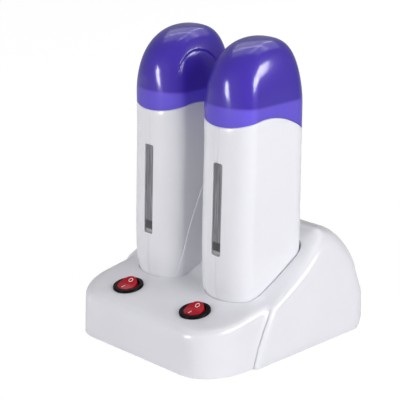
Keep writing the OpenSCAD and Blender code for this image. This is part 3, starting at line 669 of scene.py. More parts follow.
@dataclass
class Switch:
    """A round rocker switch: black housing, red rocker and its two marks."""

    side: Side
    middle_x: float = 35.4
    middle_y: float = -57.6
    deck_z: float = 38.7
    deck_tilt: float = 9.3
    bezel_radius: float = 11.5
    bezel_height: float = 2.0
    barrel_radius: float = 9.8
    barrel_length: float = 17.0
    mouth_radius: float = 8.4
    floor: float = 1.5
    hinge_z: float = -1.0
    hinge_radius: float = 1.2
    rocker_radius: float = 7.5
    rocker_tilt: float = 12.0
    rocker_valley: float = 3.3
    rocker_rise: float = 1.7
    rocker_foot: float = -3.5
    mark_y: float = 4.1
    mark_length: float = 3.4
    mark_width: float = 0.5
    ring_radius: float = 1.6

    @property
    def place(self) -> Matrix:
        """From the switch's own frame, about the middle of its bezel, to its place on the deck."""
        at = Matrix.Translation((self.side.value * self.middle_x, self.middle_y, self.deck_z))
        return at @ Matrix.Rotation(math.radians(self.deck_tilt), 4, "X")

    @property
    def rocker_place(self) -> Matrix:
        """From the rocker's own frame, about its hinge, to its place with the front pressed."""
        tilt = Matrix.Rotation(math.radians(self.rocker_tilt), 4, "X")
        return self.place @ Matrix.Translation((0, 0, self.hinge_z)) @ tilt

    def crown(self, y: float) -> float:
        """Height of the rocker's dished top at a depth."""
        return self.rocker_valley + self.rocker_rise * (abs(y) / 8.0) ** 1.35

    def bar(self, half: float, radius: float) -> bmesh.types.BMesh:
        """A round bar along X through the origin."""
        return prism(arc(0, 0, radius, radius, 0, 345, 23), -half, half, axis="x")

    def build_housing(self) -> bpy.types.Object:
        """The snap-in barrel with its rounded bezel."""
        r, h, mouth = self.bezel_radius, self.bezel_height, self.mouth_radius
        soft, lip = 0.9, 0.5
        profile = [(0, -self.barrel_length), (self.barrel_radius, -self.barrel_length),
                   (self.barrel_radius, 0), (r, 0), (r, h - soft)]
        profile += arc(r - soft, h - soft, soft, soft, 15, 90, 5)
        profile += arc(mouth + lip, h - lip, lip, lip, 90, 180, 4)
        profile += [(mouth, -self.barrel_length + self.floor), (0, -self.barrel_length + self.floor)]
        housing = to_object(f"{self.side.word}_switch_housing{SKIN}", moved(lathe(profile), self.place))
        hinge = moved(self.bar(self.barrel_radius - 0.5, self.hinge_radius + 0.05),
                      self.place @ Matrix.Translation((0, 0, self.hinge_z)))
        cut(housing, hinge)
        shade(housing)
        return housing

    def build_rocker(self) -> bpy.types.Object:
        """The red rocker, dished on both halves, with its hinge pins and stem."""
        reach = 8.0
        top = [(y, self.crown(y)) for y in (reach - i * reach / 12 for i in range(25))]
        side_view = [(-reach, self.rocker_foot), (reach, self.rocker_foot), *top]
        button = prism(arc(0, 0, self.rocker_radius, self.rocker_radius, 0, 355, 71), -6, 8)
        rocker = to_object(f"{self.side.word}_switch_rocker{SKIN}", moved(button, self.rocker_place))
        cut(rocker, moved(prism(side_view, -reach, reach, axis="x"), self.rocker_place), keep=True)
        shade(rocker, sharp=40.0, rounding=0.45, segments=3)
        stem = prism(arc(0, 0, 2.7, 2.7, 0, 345, 23), -6.4, self.rocker_foot + 0.5)
        pins = joined([self.bar(self.barrel_radius - 0.8, self.hinge_radius), stem])
        whole = bmesh.new()
        whole.from_mesh(rocker.data)
        inner = bpy.data.meshes.new("inner")
        bmesh.ops.transform(pins, matrix=Matrix.Scale(METRES, 4) @ self.rocker_place, verts=pins.verts)
        pins.to_mesh(inner)
        pins.free()
        whole.from_mesh(inner)
        whole.to_mesh(rocker.data)
        whole.free()
        bpy.data.meshes.remove(inner)
        shade(rocker, sharp=40.0)
        return rocker

    def on_crown(self, y: float) -> Matrix:
        """A place on the rocker's top, level with its slope there."""
        slope = math.atan((self.crown(y + 0.5) - self.crown(y - 0.5)))
        return (self.rocker_place @ Matrix.Translation((0, y, self.crown(y) - 0.12))
                @ Matrix.Rotation(slope, 4, "X"))

    def build_marks(self) -> bpy.types.Object:
        """The line and the ring that mark on and off."""
        half_w, half_l, thick = self.mark_width / 2, self.mark_length / 2, 0.22
        stroke = closed([arc(0, half_l - half_w, half_w, half_w, 0, 180, 8),
                         arc(0, half_w - half_l, half_w, half_w, 180, 360, 8)], [1, 1])
        on = moved(prism(stroke, 0, thick), self.on_crown(-self.mark_y))
        ring = [(self.ring_radius - half_w, 0.0), (self.ring_radius + half_w, 0.0),
                (self.ring_radius + half_w, thick), (self.ring_radius - half_w, thick),
                (self.ring_radius - half_w, 0.0)]
        off = moved(lathe(ring, steps=40), self.on_crown(self.mark_y))
        marks = to_object(f"{self.side.word}_rocker_marks", joined([on, off]))
        shade(marks)
        return marks

    def build(self) -> list[bpy.types.Object]:
        """Builds the switch's visible pieces and sets each on its body.

        Returns:
            Housing, rocker and marks.
        """
        housing, rocker, marks = self.build_housing(), self.build_rocker(), self.build_marks()
        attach(housing, "station")
        for piece in (rocker, marks):
            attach(piece, f"{self.side.word}_rocker")
        for piece in (housing, rocker):
            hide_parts(piece.name.removesuffix(SKIN))
        return [housing, rocker, marks]


# ---------------------------------------------------------------- station


@dataclass(frozen=True)
class Slice:
    """One level of the hump behind the deck."""

    z: float
    half: float
    front: float
    back: float
    front_radius: float
    back_radius: float

    def ring(self, inset: float = 0.0, steps: int = 8) -> Ring:
        """The level's outline.

        Args:
            inset: How far inside the station's side it lies.
            steps: Steps in each rounded corner.

        Returns:
            The ring.
        """
        half, y0, y1 = self.half - inset, self.front + inset, self.back - inset
        r0, r1 = max(1.0, self.front_radius - inset), max(1.0, self.back_radius - inset)
        return at_height(closed([arc(-half + r0, y0 + r0, r0, r0, 180, 270, steps),
                                 arc(half - r0, y0 + r0, r0, r0, 270, 360, steps),
                                 arc(half - r1, y1 - r1, r1, r1, 0, 90, steps),
                                 arc(-half + r1, y1 - r1, r1, r1, 90, 180, steps)], [1, 1, 1, 1]), self.z)


def smooth_table(table: Sequence[Sequence[float]], at: float) -> list[float]:
    """Reads a table on one smooth curve through its rows.

    Args:
        table: Rows of numbers whose first column rises.
        at: Value of the first column to read at.

    Returns:
        The row there.
    """
    last = len(table) - 2
    i = max(k for k in range(last + 1) if table[k][0] <= at or k == 0)
    rows = [table[min(max(k, 0), last + 1)] for k in (i - 1, i, i + 1, i + 2)]
    span = rows[2][0] - rows[1][0]
    t = (at - rows[1][0]) / span
    out = [at]
    for c in range(1, len(table[0])):
        step = (rows[2][c] - rows[1][c]) / span
        before = (rows[1][c] - rows[0][c]) / (rows[1][0] - rows[0][0]) if i > 0 else step
        after = (rows[3][c] - rows[2][c]) / (rows[3][0] - rows[2][0]) if i < last else step
        m0, m1 = (before + step) / 2 * span, (step + after) / 2 * span
        out.append((2 * t ** 3 - 3 * t ** 2 + 1) * rows[1][c] + (t ** 3 - 2 * t ** 2 + t) * m0
                   + (3 * t ** 2 - 2 * t ** 3) * rows[2][c] + (t ** 3 - t ** 2) * m1)
    return out


@dataclass
class Station:
    """The white base: raked deck, ramp, wings and ridge in one soft moulding, with its pockets."""

    heaters: Sequence[Heater]
    switches: Sequence[Switch]
    rim_z: float = 1.5
    front_half: float = 75.5
    front_y: float = -83.5
    middle_y: float = -2.25
    back_y: float = 83.5
    corner_x: float = 28.0
    corner_y: float = 37.0
    switch_y: float = -57.6
    deck_z: float = 37.2
    deck_tilt: float = 9.3
    deck_soft: float = 4.0
    deck_draft: float = 1.0
    ramp_tilt: float = 30.5
    ridge_y: float = 45.5
    ridge_z: float = 81.2
    wall: float = 2.5
    pocket_floor: float = 28.0
    mouth_gap: float = 1.1
    well_gap: float = 0.6
    pocket_rise: tuple[float, ...] = (0, 1.5, 3, 5, 7.5, 10, 13, 17, 21, 26, 32, 92)
    widens_from: float = 46.0
    widens_over: float = 14.0
    foot_reach: float = 6.0
    voxel: float = 1.05
    crease_bands: tuple[tuple[float, int], ...] = ((21.0, 10), (17.0, 12), (13.0, 14), (9.0, 16), (5.0, 16))
    overall_passes: int = 26
    inlet_z: float = 14.0
    inlet_size: tuple[float, float] = (20.6, 12.6)
    wing_edge: Points = field(default_factory=lambda: [
        (-40.0, -2.0), (-39.2, 5.0), (-36.4, 13.7), (-33.6, 20.0), (-30.0, 27.0), (-26.4, 33.5),
        (-22.5, 40.0), (-20.4, 44.0)])
    hump: tuple[tuple[float, ...], ...] = (
        (0, 78.8, 82.2, 17), (3.5, 79.6, 83.1, 16), (15, 79.8, 83.2, 15), (30, 79.4, 82.8, 16),
        (39.5, 78.4, 81, 18), (55, 76.6, 77.0, 19), (65, 73.8, 72.2, 20), (72.5, 70.2, 66.0, 18),
        (78.5, 64.5, 58, 14), (81.2, 57, 50.5, 8))

    @property
    def foot(self) -> tuple[float, float]:
        """Where the deck meets the ramp, as (y, z)."""
        deck, ramp = math.tan(math.radians(self.deck_tilt)), math.tan(math.radians(self.ramp_tilt))
        y = (self.ridge_z - ramp * self.ridge_y - self.deck_z + deck * self.switch_y) / (deck - ramp)
        return y, self.deck_z + deck * (y - self.switch_y)

    def front_plan(self, inset: float) -> Points:
        """Plan of the front part."""
        half, rx, ry = self.front_half, self.corner_x - inset, self.corner_y - inset
        x, y = half - self.corner_x, self.front_y + self.corner_y
        return closed([arc(-x, y, rx, ry, 180, 270, 30), arc(x, y, rx, ry, 270, 360, 30),
                       [(half - inset, self.middle_y)], [(inset - half, self.middle_y)]], [1, 1, 1, 1])

    def tilted(self, inset: float, drop: float) -> Ring:
        """The front part's plan laid on the deck's plane, lowered by drop."""
        turn = math.radians(self.deck_tilt)
        return [Vector((x, self.switch_y + (y - self.switch_y) * math.cos(turn),
                        self.deck_z - drop + (y - self.switch_y) * math.sin(turn)))
                for x, y in self.front_plan(inset)]

    def front_form(self) -> bmesh.types.BMesh:
        """The front part with its softened deck edge."""
        soft, rings = self.deck_soft, [at_height(self.front_plan(0.0), 0.0)]
        for i in range(9):
            turn = math.radians(90 * i / 8)
            inset = self.deck_draft + soft * (1 - math.cos(turn))
            rings.append(self.tilted(inset, soft * (1 - math.sin(turn))))
        return loft(rings)

    def ramp_y(self, z: float) -> float:
        """Depth of the ramp's plane at a height."""
        return self.ridge_y - (self.ridge_z - z) / math.tan(math.radians(self.ramp_tilt))

    def front_of(self, z: float) -> tuple[float, float]:
        """Front of the hump at a height, with the radius of its front corners."""
        if z < self.foot[1]:
            low = [(h, y) for y, h in self.wing_edge]
            return smooth_table(low, z)[1], 2.0
        share = (z - self.foot[1]) / (self.ridge_z - self.foot[1])
        swell = math.sin(math.pi * min(1.0, share * 1.15)) ** 0.7 * (1 - 0.5 * share)
        return self.ramp_y(z) - (0.5 if share > 0.99 else 0.0), 3.0 + 6.0 * swell

    def hump_form(self) -> bmesh.types.BMesh:
        """Ramp, wings, ridge and back."""
        heights = [self.ridge_z * i / 48 for i in range(48)] + [self.ridge_z - h for h in (0.9, 0.3, 0.0)]
        rings = []
        for z in sorted(heights):
            _, half, back, back_radius = smooth_table(self.hump, z)
            front, front_radius = self.front_of(z)
            rings.append(Slice(z, half, front, back, front_radius, back_radius).ring())
        return loft(rings)

    def lift(self) -> Matrix:
        """From the rim up to the table's frame."""
        return Matrix.Translation((0, 0, self.rim_z))

    def soften(self, piece: bpy.types.Object) -> None:
        """Lets the moulding's forms run into each other, most of all where the deck meets the ramp.

        Args:
            piece: The moulding.
        """
        blend = piece.modifiers.new("one_skin", "REMESH")
        blend.mode = "VOXEL"
        blend.voxel_size = self.voxel * METRES
        freeze(piece)
        mesh = bmesh.new()
        mesh.from_mesh(piece.data)
        y, z = self.foot[0] * METRES, (self.foot[1] + self.rim_z) * METRES
        for reach, passes in self.crease_bands:
            near = [v for v in mesh.verts if abs(v.co.y - y) < reach * METRES
                    and v.co.z > z - 14 * METRES and abs(v.co.x) < (self.front_half - 3.5) * METRES]
            for _ in range(passes):
                bmesh.ops.smooth_vert(mesh, verts=near, factor=0.5, use_axis_x=False, use_axis_y=False,
                                      use_axis_z=True)
        above = [v for v in mesh.verts if v.co.z > (self.rim_z + 0.8) * METRES]
        for _ in range(self.overall_passes):
            bmesh.ops.smooth_vert(mesh, verts=above, factor=0.5, use_axis_x=True, use_axis_y=True,
                                  use_axis_z=True)
        mesh.to_mesh(piece.data)
        mesh.free()

    def pocket(self, heater: Heater) -> bmesh.types.BMesh:
        """The pocket of a heater: it follows the heater's foot and widens a little towards its mouth."""
        rings = []
        for z in (self.pocket_floor + rise for rise in self.pocket_rise):
            widening = min(1.0, max(0.0, (z - self.widens_from) / self.widens_over))
            gap = self.well_gap + (self.mouth_gap - self.well_gap) * widening
            rings.append(at_height(heater.plan.points(gap - min(heater.tuck(z), self.foot_reach)), z))
        at = Matrix.Translation((heater.side.value * heater.middle_x, 0, self.rim_z))
        return moved(loft(rings), at)

    def barrel_hole(self, switch: Switch) -> bmesh.types.BMesh:
        """The hole that a switch snaps into."""
        radius = switch.barrel_radius + 0.2
        return moved(prism(arc(0, 0, radius, radius, 0, 355, 71), -30, 20), switch.place)

    def wing_groove(self, sign: int) -> bmesh.types.BMesh:
        """The fine groove along the front edge of a wing."""
        width, depth = 0.55, 0.9
        back = [(y - 0.1, z) for y, z in self.wing_edge]
        outline = back + [(y - 0.1 - width, z) for y, z in reversed(self.wing_edge)]
        start = self.front_half - depth
        block = prism(outline, start, start + 20, axis="x")
        return moved(block, self.lift() @ Matrix.Diagonal((sign, 1, 1, 1)))

    def cavities(self) -> list[bmesh.types.BMesh]:
        """The hollow under the pockets' floors, in its front and rear parts."""
        top = self.pocket_floor - self.wall
        front = prism(self.front_plan(self.wall), -2, top)
        rear = [Slice(z, 80, -38.0 + 0.3 * max(0.0, z), 83.5, 3, 15).ring(self.wall + 0.05 * max(0.0, z))
                for z in (-2.0, 0.0, top + 0.01)]
        return [moved(front, self.lift()), moved(loft(rear), self.lift())]

    def inlet_hole(self) -> bmesh.types.BMesh:
        """The opening for the mains inlet in the back wall."""
        hole = bmesh.new()
        bmesh.ops.create_cube(hole, size=1)
        bmesh.ops.scale(hole, vec=(self.inlet_size[0], 24, self.inlet_size[1]), verts=hole.verts)
        bmesh.ops.translate(hole, vec=(0, self.back_y - 6, self.inlet_z + self.rim_z), verts=hole.verts)
        return hole

    def build(self) -> bpy.types.Object:
        """Builds the moulding and sets it on its body.

        Returns:
            The moulding.
        """
        forms = joined([self.front_form(), self.hump_form()])
        shell = to_object(f"base_shell{SKIN}", moved(forms, self.lift()))
        self.soften(shell)
        openings = [self.pocket(h) for h in self.heaters] + [self.barrel_hole(s) for s in self.switches]
        openings += [self.wing_groove(1), self.wing_groove(-1)]
        cut(shell, joined(openings), *self.cavities(), self.inlet_hole())
        shade(shell, sharp=38.0)
        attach(shell, "station")
        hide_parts("base_shell")
        return shell


# ---------------------------------------------------------------- finishes


class Graph:
    """Adds nodes to one node tree and joins them."""

    def __init__(self, tree: bpy.types.NodeTree) -> None:
        """Takes the tree to build in."""
        self.tree = tree

    def add(self, kind: str, **values: object) -> bpy.types.Node:
        """Adds a node.

        Args:
            kind: The node's type, without "ShaderNode" in front.
            values: Settings of the node, or values of its inputs with _ for spaces.

        Returns:
            The node.
        """
        made = self.tree.nodes.new(kind if kind.startswith("Node") else f"ShaderNode{kind}")
        for word, value in values.items():
            if hasattr(made, word):
                setattr(made, word, value)
            else:
                made.inputs[word.replace("_", " ")].default_value = value
        return made

    def join(self, source: bpy.types.NodeSocket, target: bpy.types.NodeSocket) -> None:
        """Links an output to an input."""
        self.tree.links.new(source, target)

    def centred(self, noise: bpy.types.Node) -> bpy.types.NodeSocket:
        """A noise's value, spread from -1 to 1."""
        spread = self.add("MapRange", From_Min=0.3, From_Max=0.7, To_Min=-1.0, To_Max=1.0)
        self.join(noise.outputs["Fac"], spread.inputs["Value"])
        return spread.outputs["Result"]

    def swung(self, noise: bpy.types.Node, given: bpy.types.Node) -> bpy.types.NodeSocket:
        """The given gloss, moved up and down by a noise."""
        gloss = self.add("Math", operation="MULTIPLY_ADD", use_clamp=True)
        self.join(self.centred(noise), gloss.inputs[0])
        self.join(given.outputs["Gloss Swing"], gloss.inputs[1])
        self.join(given.outputs["Gloss"], gloss.inputs[2])
        return gloss.outputs["Value"]


def shader_group(name: str, inputs: Sequence[tuple[str, str]], outputs: Sequence[tuple[str, str]]
                 ) -> tuple[Graph, bpy.types.Node, bpy.types.Node]:
    """Starts a node group that several materials share.

    Args:
        name: The group's name.
        inputs: Name and socket type of each input.
        outputs: Name and socket type of each output.

    Returns:
        The graph inside it, its input node and its output node.
    """
    tree = bpy.data.node_groups.new(name, "ShaderNodeTree")
    for way, sockets in (("INPUT", inputs), ("OUTPUT", outputs)):
        for word, kind in sockets:
            tree.interface.new_socket(word, in_out=way, socket_type=f"NodeSocket{kind}")
    graph = Graph(tree)
    return graph, graph.add("NodeGroupInput"), graph.add("NodeGroupOutput")


def moulding_group() -> bpy.types.NodeTree:
    """The surface of a moulded piece: faint drifts of tone and gloss, and a fine grain.

    Returns:
        The group.
    """
    graph, given, out = shader_group(
        "moulded_surface",
        [("Point", "Vector"), ("Colour", "Color"), ("Drift", "Float"), ("Gloss", "Float"),
         ("Gloss Swing", "Float"), ("Grain Size", "Float")],
        [("Colour", "Color"), ("Roughness", "Float"), ("Height", "Float")])
    cloud = graph.add("TexNoise", Scale=28.0, Detail=3.0, Roughness=0.55)
    graph.join(given.outputs["Point"], cloud.inputs["Vector"])
    tone = graph.add("Math", operation="MULTIPLY_ADD")
    graph.join(graph.centred(cloud), tone.inputs[0])
    graph.join(given.outputs["Drift"], tone.inputs[1])
    tone.inputs[2].default_value = 1.0
    scaled = graph.add("VectorMath", operation="SCALE")
    graph.join(given.outputs["Colour"], scaled.inputs[0])
    graph.join(tone.outputs["Value"], scaled.inputs["Scale"])
    graph.join(scaled.outputs["Vector"], out.inputs["Colour"])
    smear = graph.add("TexNoise", Scale=60.0, Detail=5.0, Roughness=0.6)
    graph.join(given.outputs["Point"], smear.inputs["Vector"])
    graph.join(graph.swung(smear, given), out.inputs["Roughness"])
    count = graph.add("Math", operation="DIVIDE")
    count.inputs[0].default_value = 1.0
    graph.join(given.outputs["Grain Size"], count.inputs[1])
    grain = graph.add("TexNoise", Detail=2.0, Roughness=0.5)
    graph.join(given.outputs["Point"], grain.inputs["Vector"])
    graph.join(count.outputs["Value"], grain.inputs["Scale"])
    graph.join(grain.outputs["Fac"], out.inputs["Height"])
    return graph.tree


def brushing_group() -> bpy.types.NodeTree:
    """Drawn or brushed metal: fine lines one way, and dull patches.

    Returns:
        The group.
    """
    graph, given, out = shader_group(
        "drawn_metal",
        [("Point", "Vector"), ("Colour", "Color"), ("Line Density", "Vector"), ("Gloss", "Float"),
         ("Gloss Swing", "Float")],
        [("Colour", "Color"), ("Roughness", "Float"), ("Height", "Float")])
    stretched = graph.add("VectorMath", operation="MULTIPLY")
    graph.join(given.outputs["Point"], stretched.inputs[0])
    graph.join(given.outputs["Line Density"], stretched.inputs[1])
    lines = graph.add("TexNoise", Scale=1.0, Detail=4.0, Roughness=0.65)
    graph.join(stretched.outputs["Vector"], lines.inputs["Vector"])
    graph.join(graph.swung(lines, given), out.inputs["Roughness"])
    patch = graph.add("TexNoise", Scale=140.0, Detail=4.0, Roughness=0.6)
    graph.join(given.outputs["Point"], patch.inputs["Vector"])
    dull = graph.add("MapRange", From_Min=0.35, From_Max=0.7, To_Min=1.05, To_Max=0.82)
    graph.join(patch.outputs["Fac"], dull.inputs["Value"])
    scaled = graph.add("VectorMath", operation="SCALE")
    graph.join(given.outputs["Colour"], scaled.inputs[0])
    graph.join(dull.outputs["Result"], scaled.inputs["Scale"])
    graph.join(scaled.outputs["Vector"], out.inputs["Colour"])
    graph.join(lines.outputs["Fac"], out.inputs["Height"])
    return graph.tree


Colour = tuple[float, float, float]


@dataclass(frozen=True)
class Finish:
    """What every finish shares."""

    name: str
    colour: Colour
    gloss: float

    def start(self) -> tuple[bpy.types.Material, Graph, bpy.types.Node]:
        """Starts a material with its shader on the output.

        Returns:
            The material, its graph and its Principled shader.
        """
        material = bpy.data.materials.new(self.name)
        material.use_nodes = True
        material.diffuse_color = (*self.colour, 1.0)
        material.node_tree.nodes.clear()
        graph = Graph(material.node_tree)
        shader, out = graph.add("BsdfPrincipled"), graph.add("OutputMaterial")
        graph.join(shader.outputs["BSDF"], out.inputs["Surface"])
        return material, graph, shader

    def surface(self, graph: Graph, shader: bpy.types.Node, group: bpy.types.NodeTree, relief: float,
                **values: object) -> bpy.types.Node:
        """Places a shared group in a material and feeds the shader from it.

        Args:
            graph: The material's graph.
            shader: Its Principled shader.
            group: The shared group.
            relief: Depth of the grain, in millimetres.
            values: The group's own values, with _ for spaces.

        Returns:
            The group's node.
        """
        point = graph.add("TexCoord")
        node = graph.add("Group")
        node.node_tree = group
        for word, value in values.items():
            node.inputs[word.replace("_", " ")].default_value = value
        node.inputs["Colour"].default_value = (*self.colour, 1.0)
        node.inputs["Gloss"].default_value = self.gloss
        graph.join(point.outputs["Object"], node.inputs["Point"])
        graph.join(node.outputs["Colour"], shader.inputs["Base Color"])
        graph.join(node.outputs["Roughness"], shader.inputs["Roughness"])
        if relief:
            bump = graph.add("Bump", Strength=1.0, Distance=relief * METRES)
            graph.join(node.outputs["Height"], bump.inputs["Height"])
            graph.join(bump.outputs["Normal"], shader.inputs["Normal"])
        return node


@dataclass(frozen=True)
class Moulded(Finish):
    """Moulded plastic, rubber or ceramic; gloss is its roughness."""

    drift: float = 0.012
    swing: float = 0.03
    grain_size: float = 0.5
    relief: float = 0.004
    shine: float = 0.5

    def make(self, moulding: bpy.types.NodeTree, _brushing: bpy.types.NodeTree) -> bpy.types.Material:
        """Makes the material."""
        material, graph, shader = self.start()
        self.surface(graph, shader, moulding, self.relief, Drift=self.drift, Gloss_Swing=self.swing,
                     Grain_Size=self.grain_size * METRES)
        shader.inputs["Specular IOR Level"].default_value = self.shine
        return material


@dataclass(frozen=True)
class Drawn(Finish):
    """Bare metal with fine lines along one way; gloss is its roughness."""

    lines: Colour = (4000.0, 4000.0, 300.0)
    swing: float = 0.08
    relief: float = 0.002

    def make(self, _moulding: bpy.types.NodeTree, brushing: bpy.types.NodeTree) -> bpy.types.Material:
        """Makes the material."""
        material, graph, shader = self.start()
        self.surface(graph, shader, brushing, self.relief, Line_Density=self.lines, Gloss_Swing=self.swing)
        shader.inputs["Metallic"].default_value = 1.0
        return material


@dataclass(frozen=True)
class Clear(Finish):
    """Tinted clear plastic, painted paler where a white part behind it shows through (painted light from
    that part), with an optional painted shade and painted glow; gloss is its roughness.
    """

    # backed is painted light: the paler colour that a part behind the plastic would show through it, laid
    # on below backed_below. A part really stands there, but its light through the plastic is painted.
    backed: Colour = (0.4, 0.3, 0.9)
    rim: Colour = (0.1, 0.07, 0.4)
    backed_below: float = 0.0
    fade: float = 2.0
    transmission: float = 1.0
    drift: float = 0.02
    swing: float = 0.01
    relief: float = 0.0
    index: float = 1.49
    shine: float = 0.5
    shine_tint: Colour = (1.0, 1.0, 1.0)
    coat: float = 0.0
    coat_gloss: float = 0.16
    # shade_below and shade give a painted shade: the colour darkens below that height, standing in for the
    # shadow inside.
    shade_below: float = 0.0
    shade: float = 1.0
    streaks: float = 0.0
    streak_scale: Colour = (900.0, 900.0, 22.0)
    rim_blend: float = 0.32
    # glow is the strength of a painted glow: the plastic gives light of its own to lift the shade that
    # falls on it.
    glow: float = 0.0

    def streaked(self, graph: Graph, height: bpy.types.NodeSocket, colour: bpy.types.NodeSocket
                 ) -> bpy.types.NodeSocket:
        """Upright streaks and a painted shade: a darker stretch near the foot that stands in for the shadow
        inside.

        Args:
            graph: The material's graph.
            height: The height above the table.
            colour: The colour without them.

        Returns:
            The colour with them.
        """
        point, stretched = graph.add("TexCoord"), graph.add("Mapping")
        stretched.inputs["Scale"].default_value = self.streak_scale
        graph.join(point.outputs["Object"], stretched.inputs["Vector"])
        lines = graph.add("TexNoise", Scale=1.0, Detail=3.0, Roughness=0.6)
        graph.join(stretched.outputs["Vector"], lines.inputs["Vector"])
        swing = graph.add("MapRange", From_Min=0.3, From_Max=0.7, To_Min=1.0 - self.streaks,
                          To_Max=1.0 + self.streaks)
        graph.join(lines.outputs["Fac"], swing.inputs["Value"])
        # Painted shade: the colour is darker below shade_below, for the shadow inside the window.
        top = self.shade_below * METRES
        level = graph.add("MapRange", interpolation_type="SMOOTHSTEP", From_Min=top - self.fade * METRES,
                          From_Max=top, To_Min=self.shade, To_Max=1.0)
        graph.join(height, level.inputs["Value"])
        both, scaled = graph.add("Math", operation="MULTIPLY"), graph.add("VectorMath", operation="SCALE")
        graph.join(swing.outputs["Result"], both.inputs[0])
        graph.join(level.outputs["Result"], both.inputs[1])
        graph.join(colour, scaled.inputs[0])
        graph.join(both.outputs["Value"], scaled.inputs["Scale"])
        return scaled.outputs["Vector"]

    def make(self, moulding: bpy.types.NodeTree, _brushing: bpy.types.NodeTree) -> bpy.types.Material:
        """Makes the material."""
        material, graph, shader = self.start()
        node = self.surface(graph, shader, moulding, self.relief, Drift=self.drift, Gloss_Swing=self.swing,
                            Grain_Size=0.6 * METRES)
        point = graph.add("TexCoord")
        split = graph.add("SeparateXYZ")
        graph.join(point.outputs["Object"], split.inputs["Vector"])
        # The paler band below this height is painted light from the part behind, not light that comes
        # through the plastic.
        low, high = (self.backed_below - self.fade) * METRES, self.backed_below * METRES
        level = graph.add("MapRange", interpolation_type="SMOOTHSTEP", From_Min=low, From_Max=high)
        graph.join(split.outputs["Z"], level.inputs["Value"])
        band = graph.add("Mix", data_type="RGBA")
        graph.join(level.outputs["Result"], band.inputs["Factor"])
        band.inputs["A"].default_value = (*self.backed, 1.0)
        tone = node.outputs["Colour"]
        if self.streaks:
            tone = self.streaked(graph, split.outputs["Z"], tone)
        graph.join(tone, band.inputs["B"])
        facing = graph.add("LayerWeight", Blend=self.rim_blend)
        edge = graph.add("Mix", data_type="RGBA")
        graph.join(facing.outputs["Facing"], edge.inputs["Factor"])
        graph.join(band.outputs["Result"], edge.inputs["A"])
        edge.inputs["B"].default_value = (*self.rim, 1.0)
        graph.join(edge.outputs["Result"], shader.inputs["Base Color"])
        # The emission set below is a painted glow, not a lamp.
        for word, value in {
                "Transmission Weight": self.transmission, "IOR": self.index,
                "Specular IOR Level": self.shine, "Specular Tint": (*self.shine_tint, 1.0),
                "Emission Color": (*self.colour, 1.0), "Emission Strength": self.glow,
                "Coat Weight": self.coat, "Coat Roughness": self.coat_gloss}.items():
            shader.inputs[word].default_value = value
        return material


FINISHES: dict[str, Finish] = {f.name: f for f in (
    Moulded("white_shell", (0.80, 0.80, 0.845), 0.235, swing=0.02, relief=0.003),
    Moulded("pearl_shell", (0.82, 0.82, 0.865), 0.22, relief=0.002),
    Moulded("collar_white", (0.80, 0.80, 0.84), 0.4),
    Moulded("plate_grey", (0.62, 0.62, 0.66), 0.55, grain_size=0.9, relief=0.02),
    Moulded("foot_rubber", (0.02, 0.02, 0.022), 0.8, grain_size=0.6, relief=0.02, swing=0.06),
    Moulded("inlet_black", (0.012, 0.012, 0.013), 0.5, grain_size=0.5, relief=0.01),
    Moulded("bezel_black", (0.004, 0.004, 0.005), 0.22, relief=0.002, shine=0.06),
    Moulded("rocker_red", (0.42, 0.002, 0.012), 0.2, relief=0.002, drift=0.04, shine=0.16),
    Moulded("mark_white", (0.85, 0.85, 0.86), 0.5),
    Moulded("socket_grey", (0.03, 0.03, 0.034), 0.6, grain_size=0.7, relief=0.012),
    Moulded("ivory", (0.62, 0.58, 0.44), 0.4),
    Moulded("ceramic", (0.62, 0.56, 0.44), 0.85, grain_size=0.35, relief=0.02, drift=0.06),
    Moulded("bakelite", (0.012, 0.011, 0.010), 0.32, grain_size=0.4, relief=0.005),
    Moulded("fuse_tan", (0.42, 0.29, 0.13), 0.45, drift=0.05),
    Moulded("lead_brown", (0.11, 0.035, 0.012), 0.42, drift=0.05),
    Moulded("lead_blue", (0.012, 0.05, 0.32), 0.42, drift=0.05),
    Moulded("lead_black", (0.012, 0.012, 0.012), 0.45, drift=0.05),
    Moulded("lead_red", (0.36, 0.012, 0.012), 0.4, drift=0.05),
    Drawn("steel", (0.60, 0.60, 0.62), 0.3),
    Drawn("spring_steel", (0.50, 0.50, 0.53), 0.26, lines=(4000.0, 300.0, 4000.0)),
    Drawn("brass", (0.72, 0.52, 0.22), 0.3, lines=(3000.0, 3000.0, 250.0)),
    Drawn("aluminium", (0.70, 0.70, 0.72), 0.36, lines=(3500.0, 3500.0, 200.0)),
    # violet_clear: the paler band below 185 mm is painted light from the white collar behind the cap, and
    # its painted glow lifts the shade that the other heater casts on it.
    Clear("violet_clear", (0.060, 0.030, 0.41), 0.45, backed=(0.17, 0.115, 0.77), rim=(0.004, 0.002, 0.12),
          backed_below=185.0, fade=3.0, transmission=0.2, shine=0.1, shine_tint=(0.4, 0.3, 1.0), coat=0.6,
          glow=0.16),
    # smoke_clear: the paler block below 79.5 mm is painted light from the chamber wall behind the lens, and
    # the darker stretch above it, up to 86 mm, is painted shade inside.
    Clear("smoke_clear", (0.33, 0.33, 0.36), 0.2, backed=(0.62, 0.62, 0.64), rim=(0.16, 0.16, 0.18),
          backed_below=79.5, fade=1.2, transmission=0.3, shade_below=86.0, shade=0.18, streaks=0.6),
)}

PIECE_FINISH = {
    "base_shell": ("white_shell", "white_shell"), "outer_shell": ("pearl_shell", "white_shell"),
    "grip_shell": ("pearl_shell", "white_shell"), "grip_pad": ("pearl_shell", "white_shell"),
    "window_lens": ("smoke_clear", "lens"),
    "wax_chamber": ("aluminium", "chamber"), "collar": ("collar_white", "collar"),
    "cap": ("violet_clear", "cap"), "switch_housing": ("bezel_black", "bezel"),
    "switch_rocker": ("rocker_red", "rocker"), "rocker_marks": ("mark_white", "white_shell"),
}

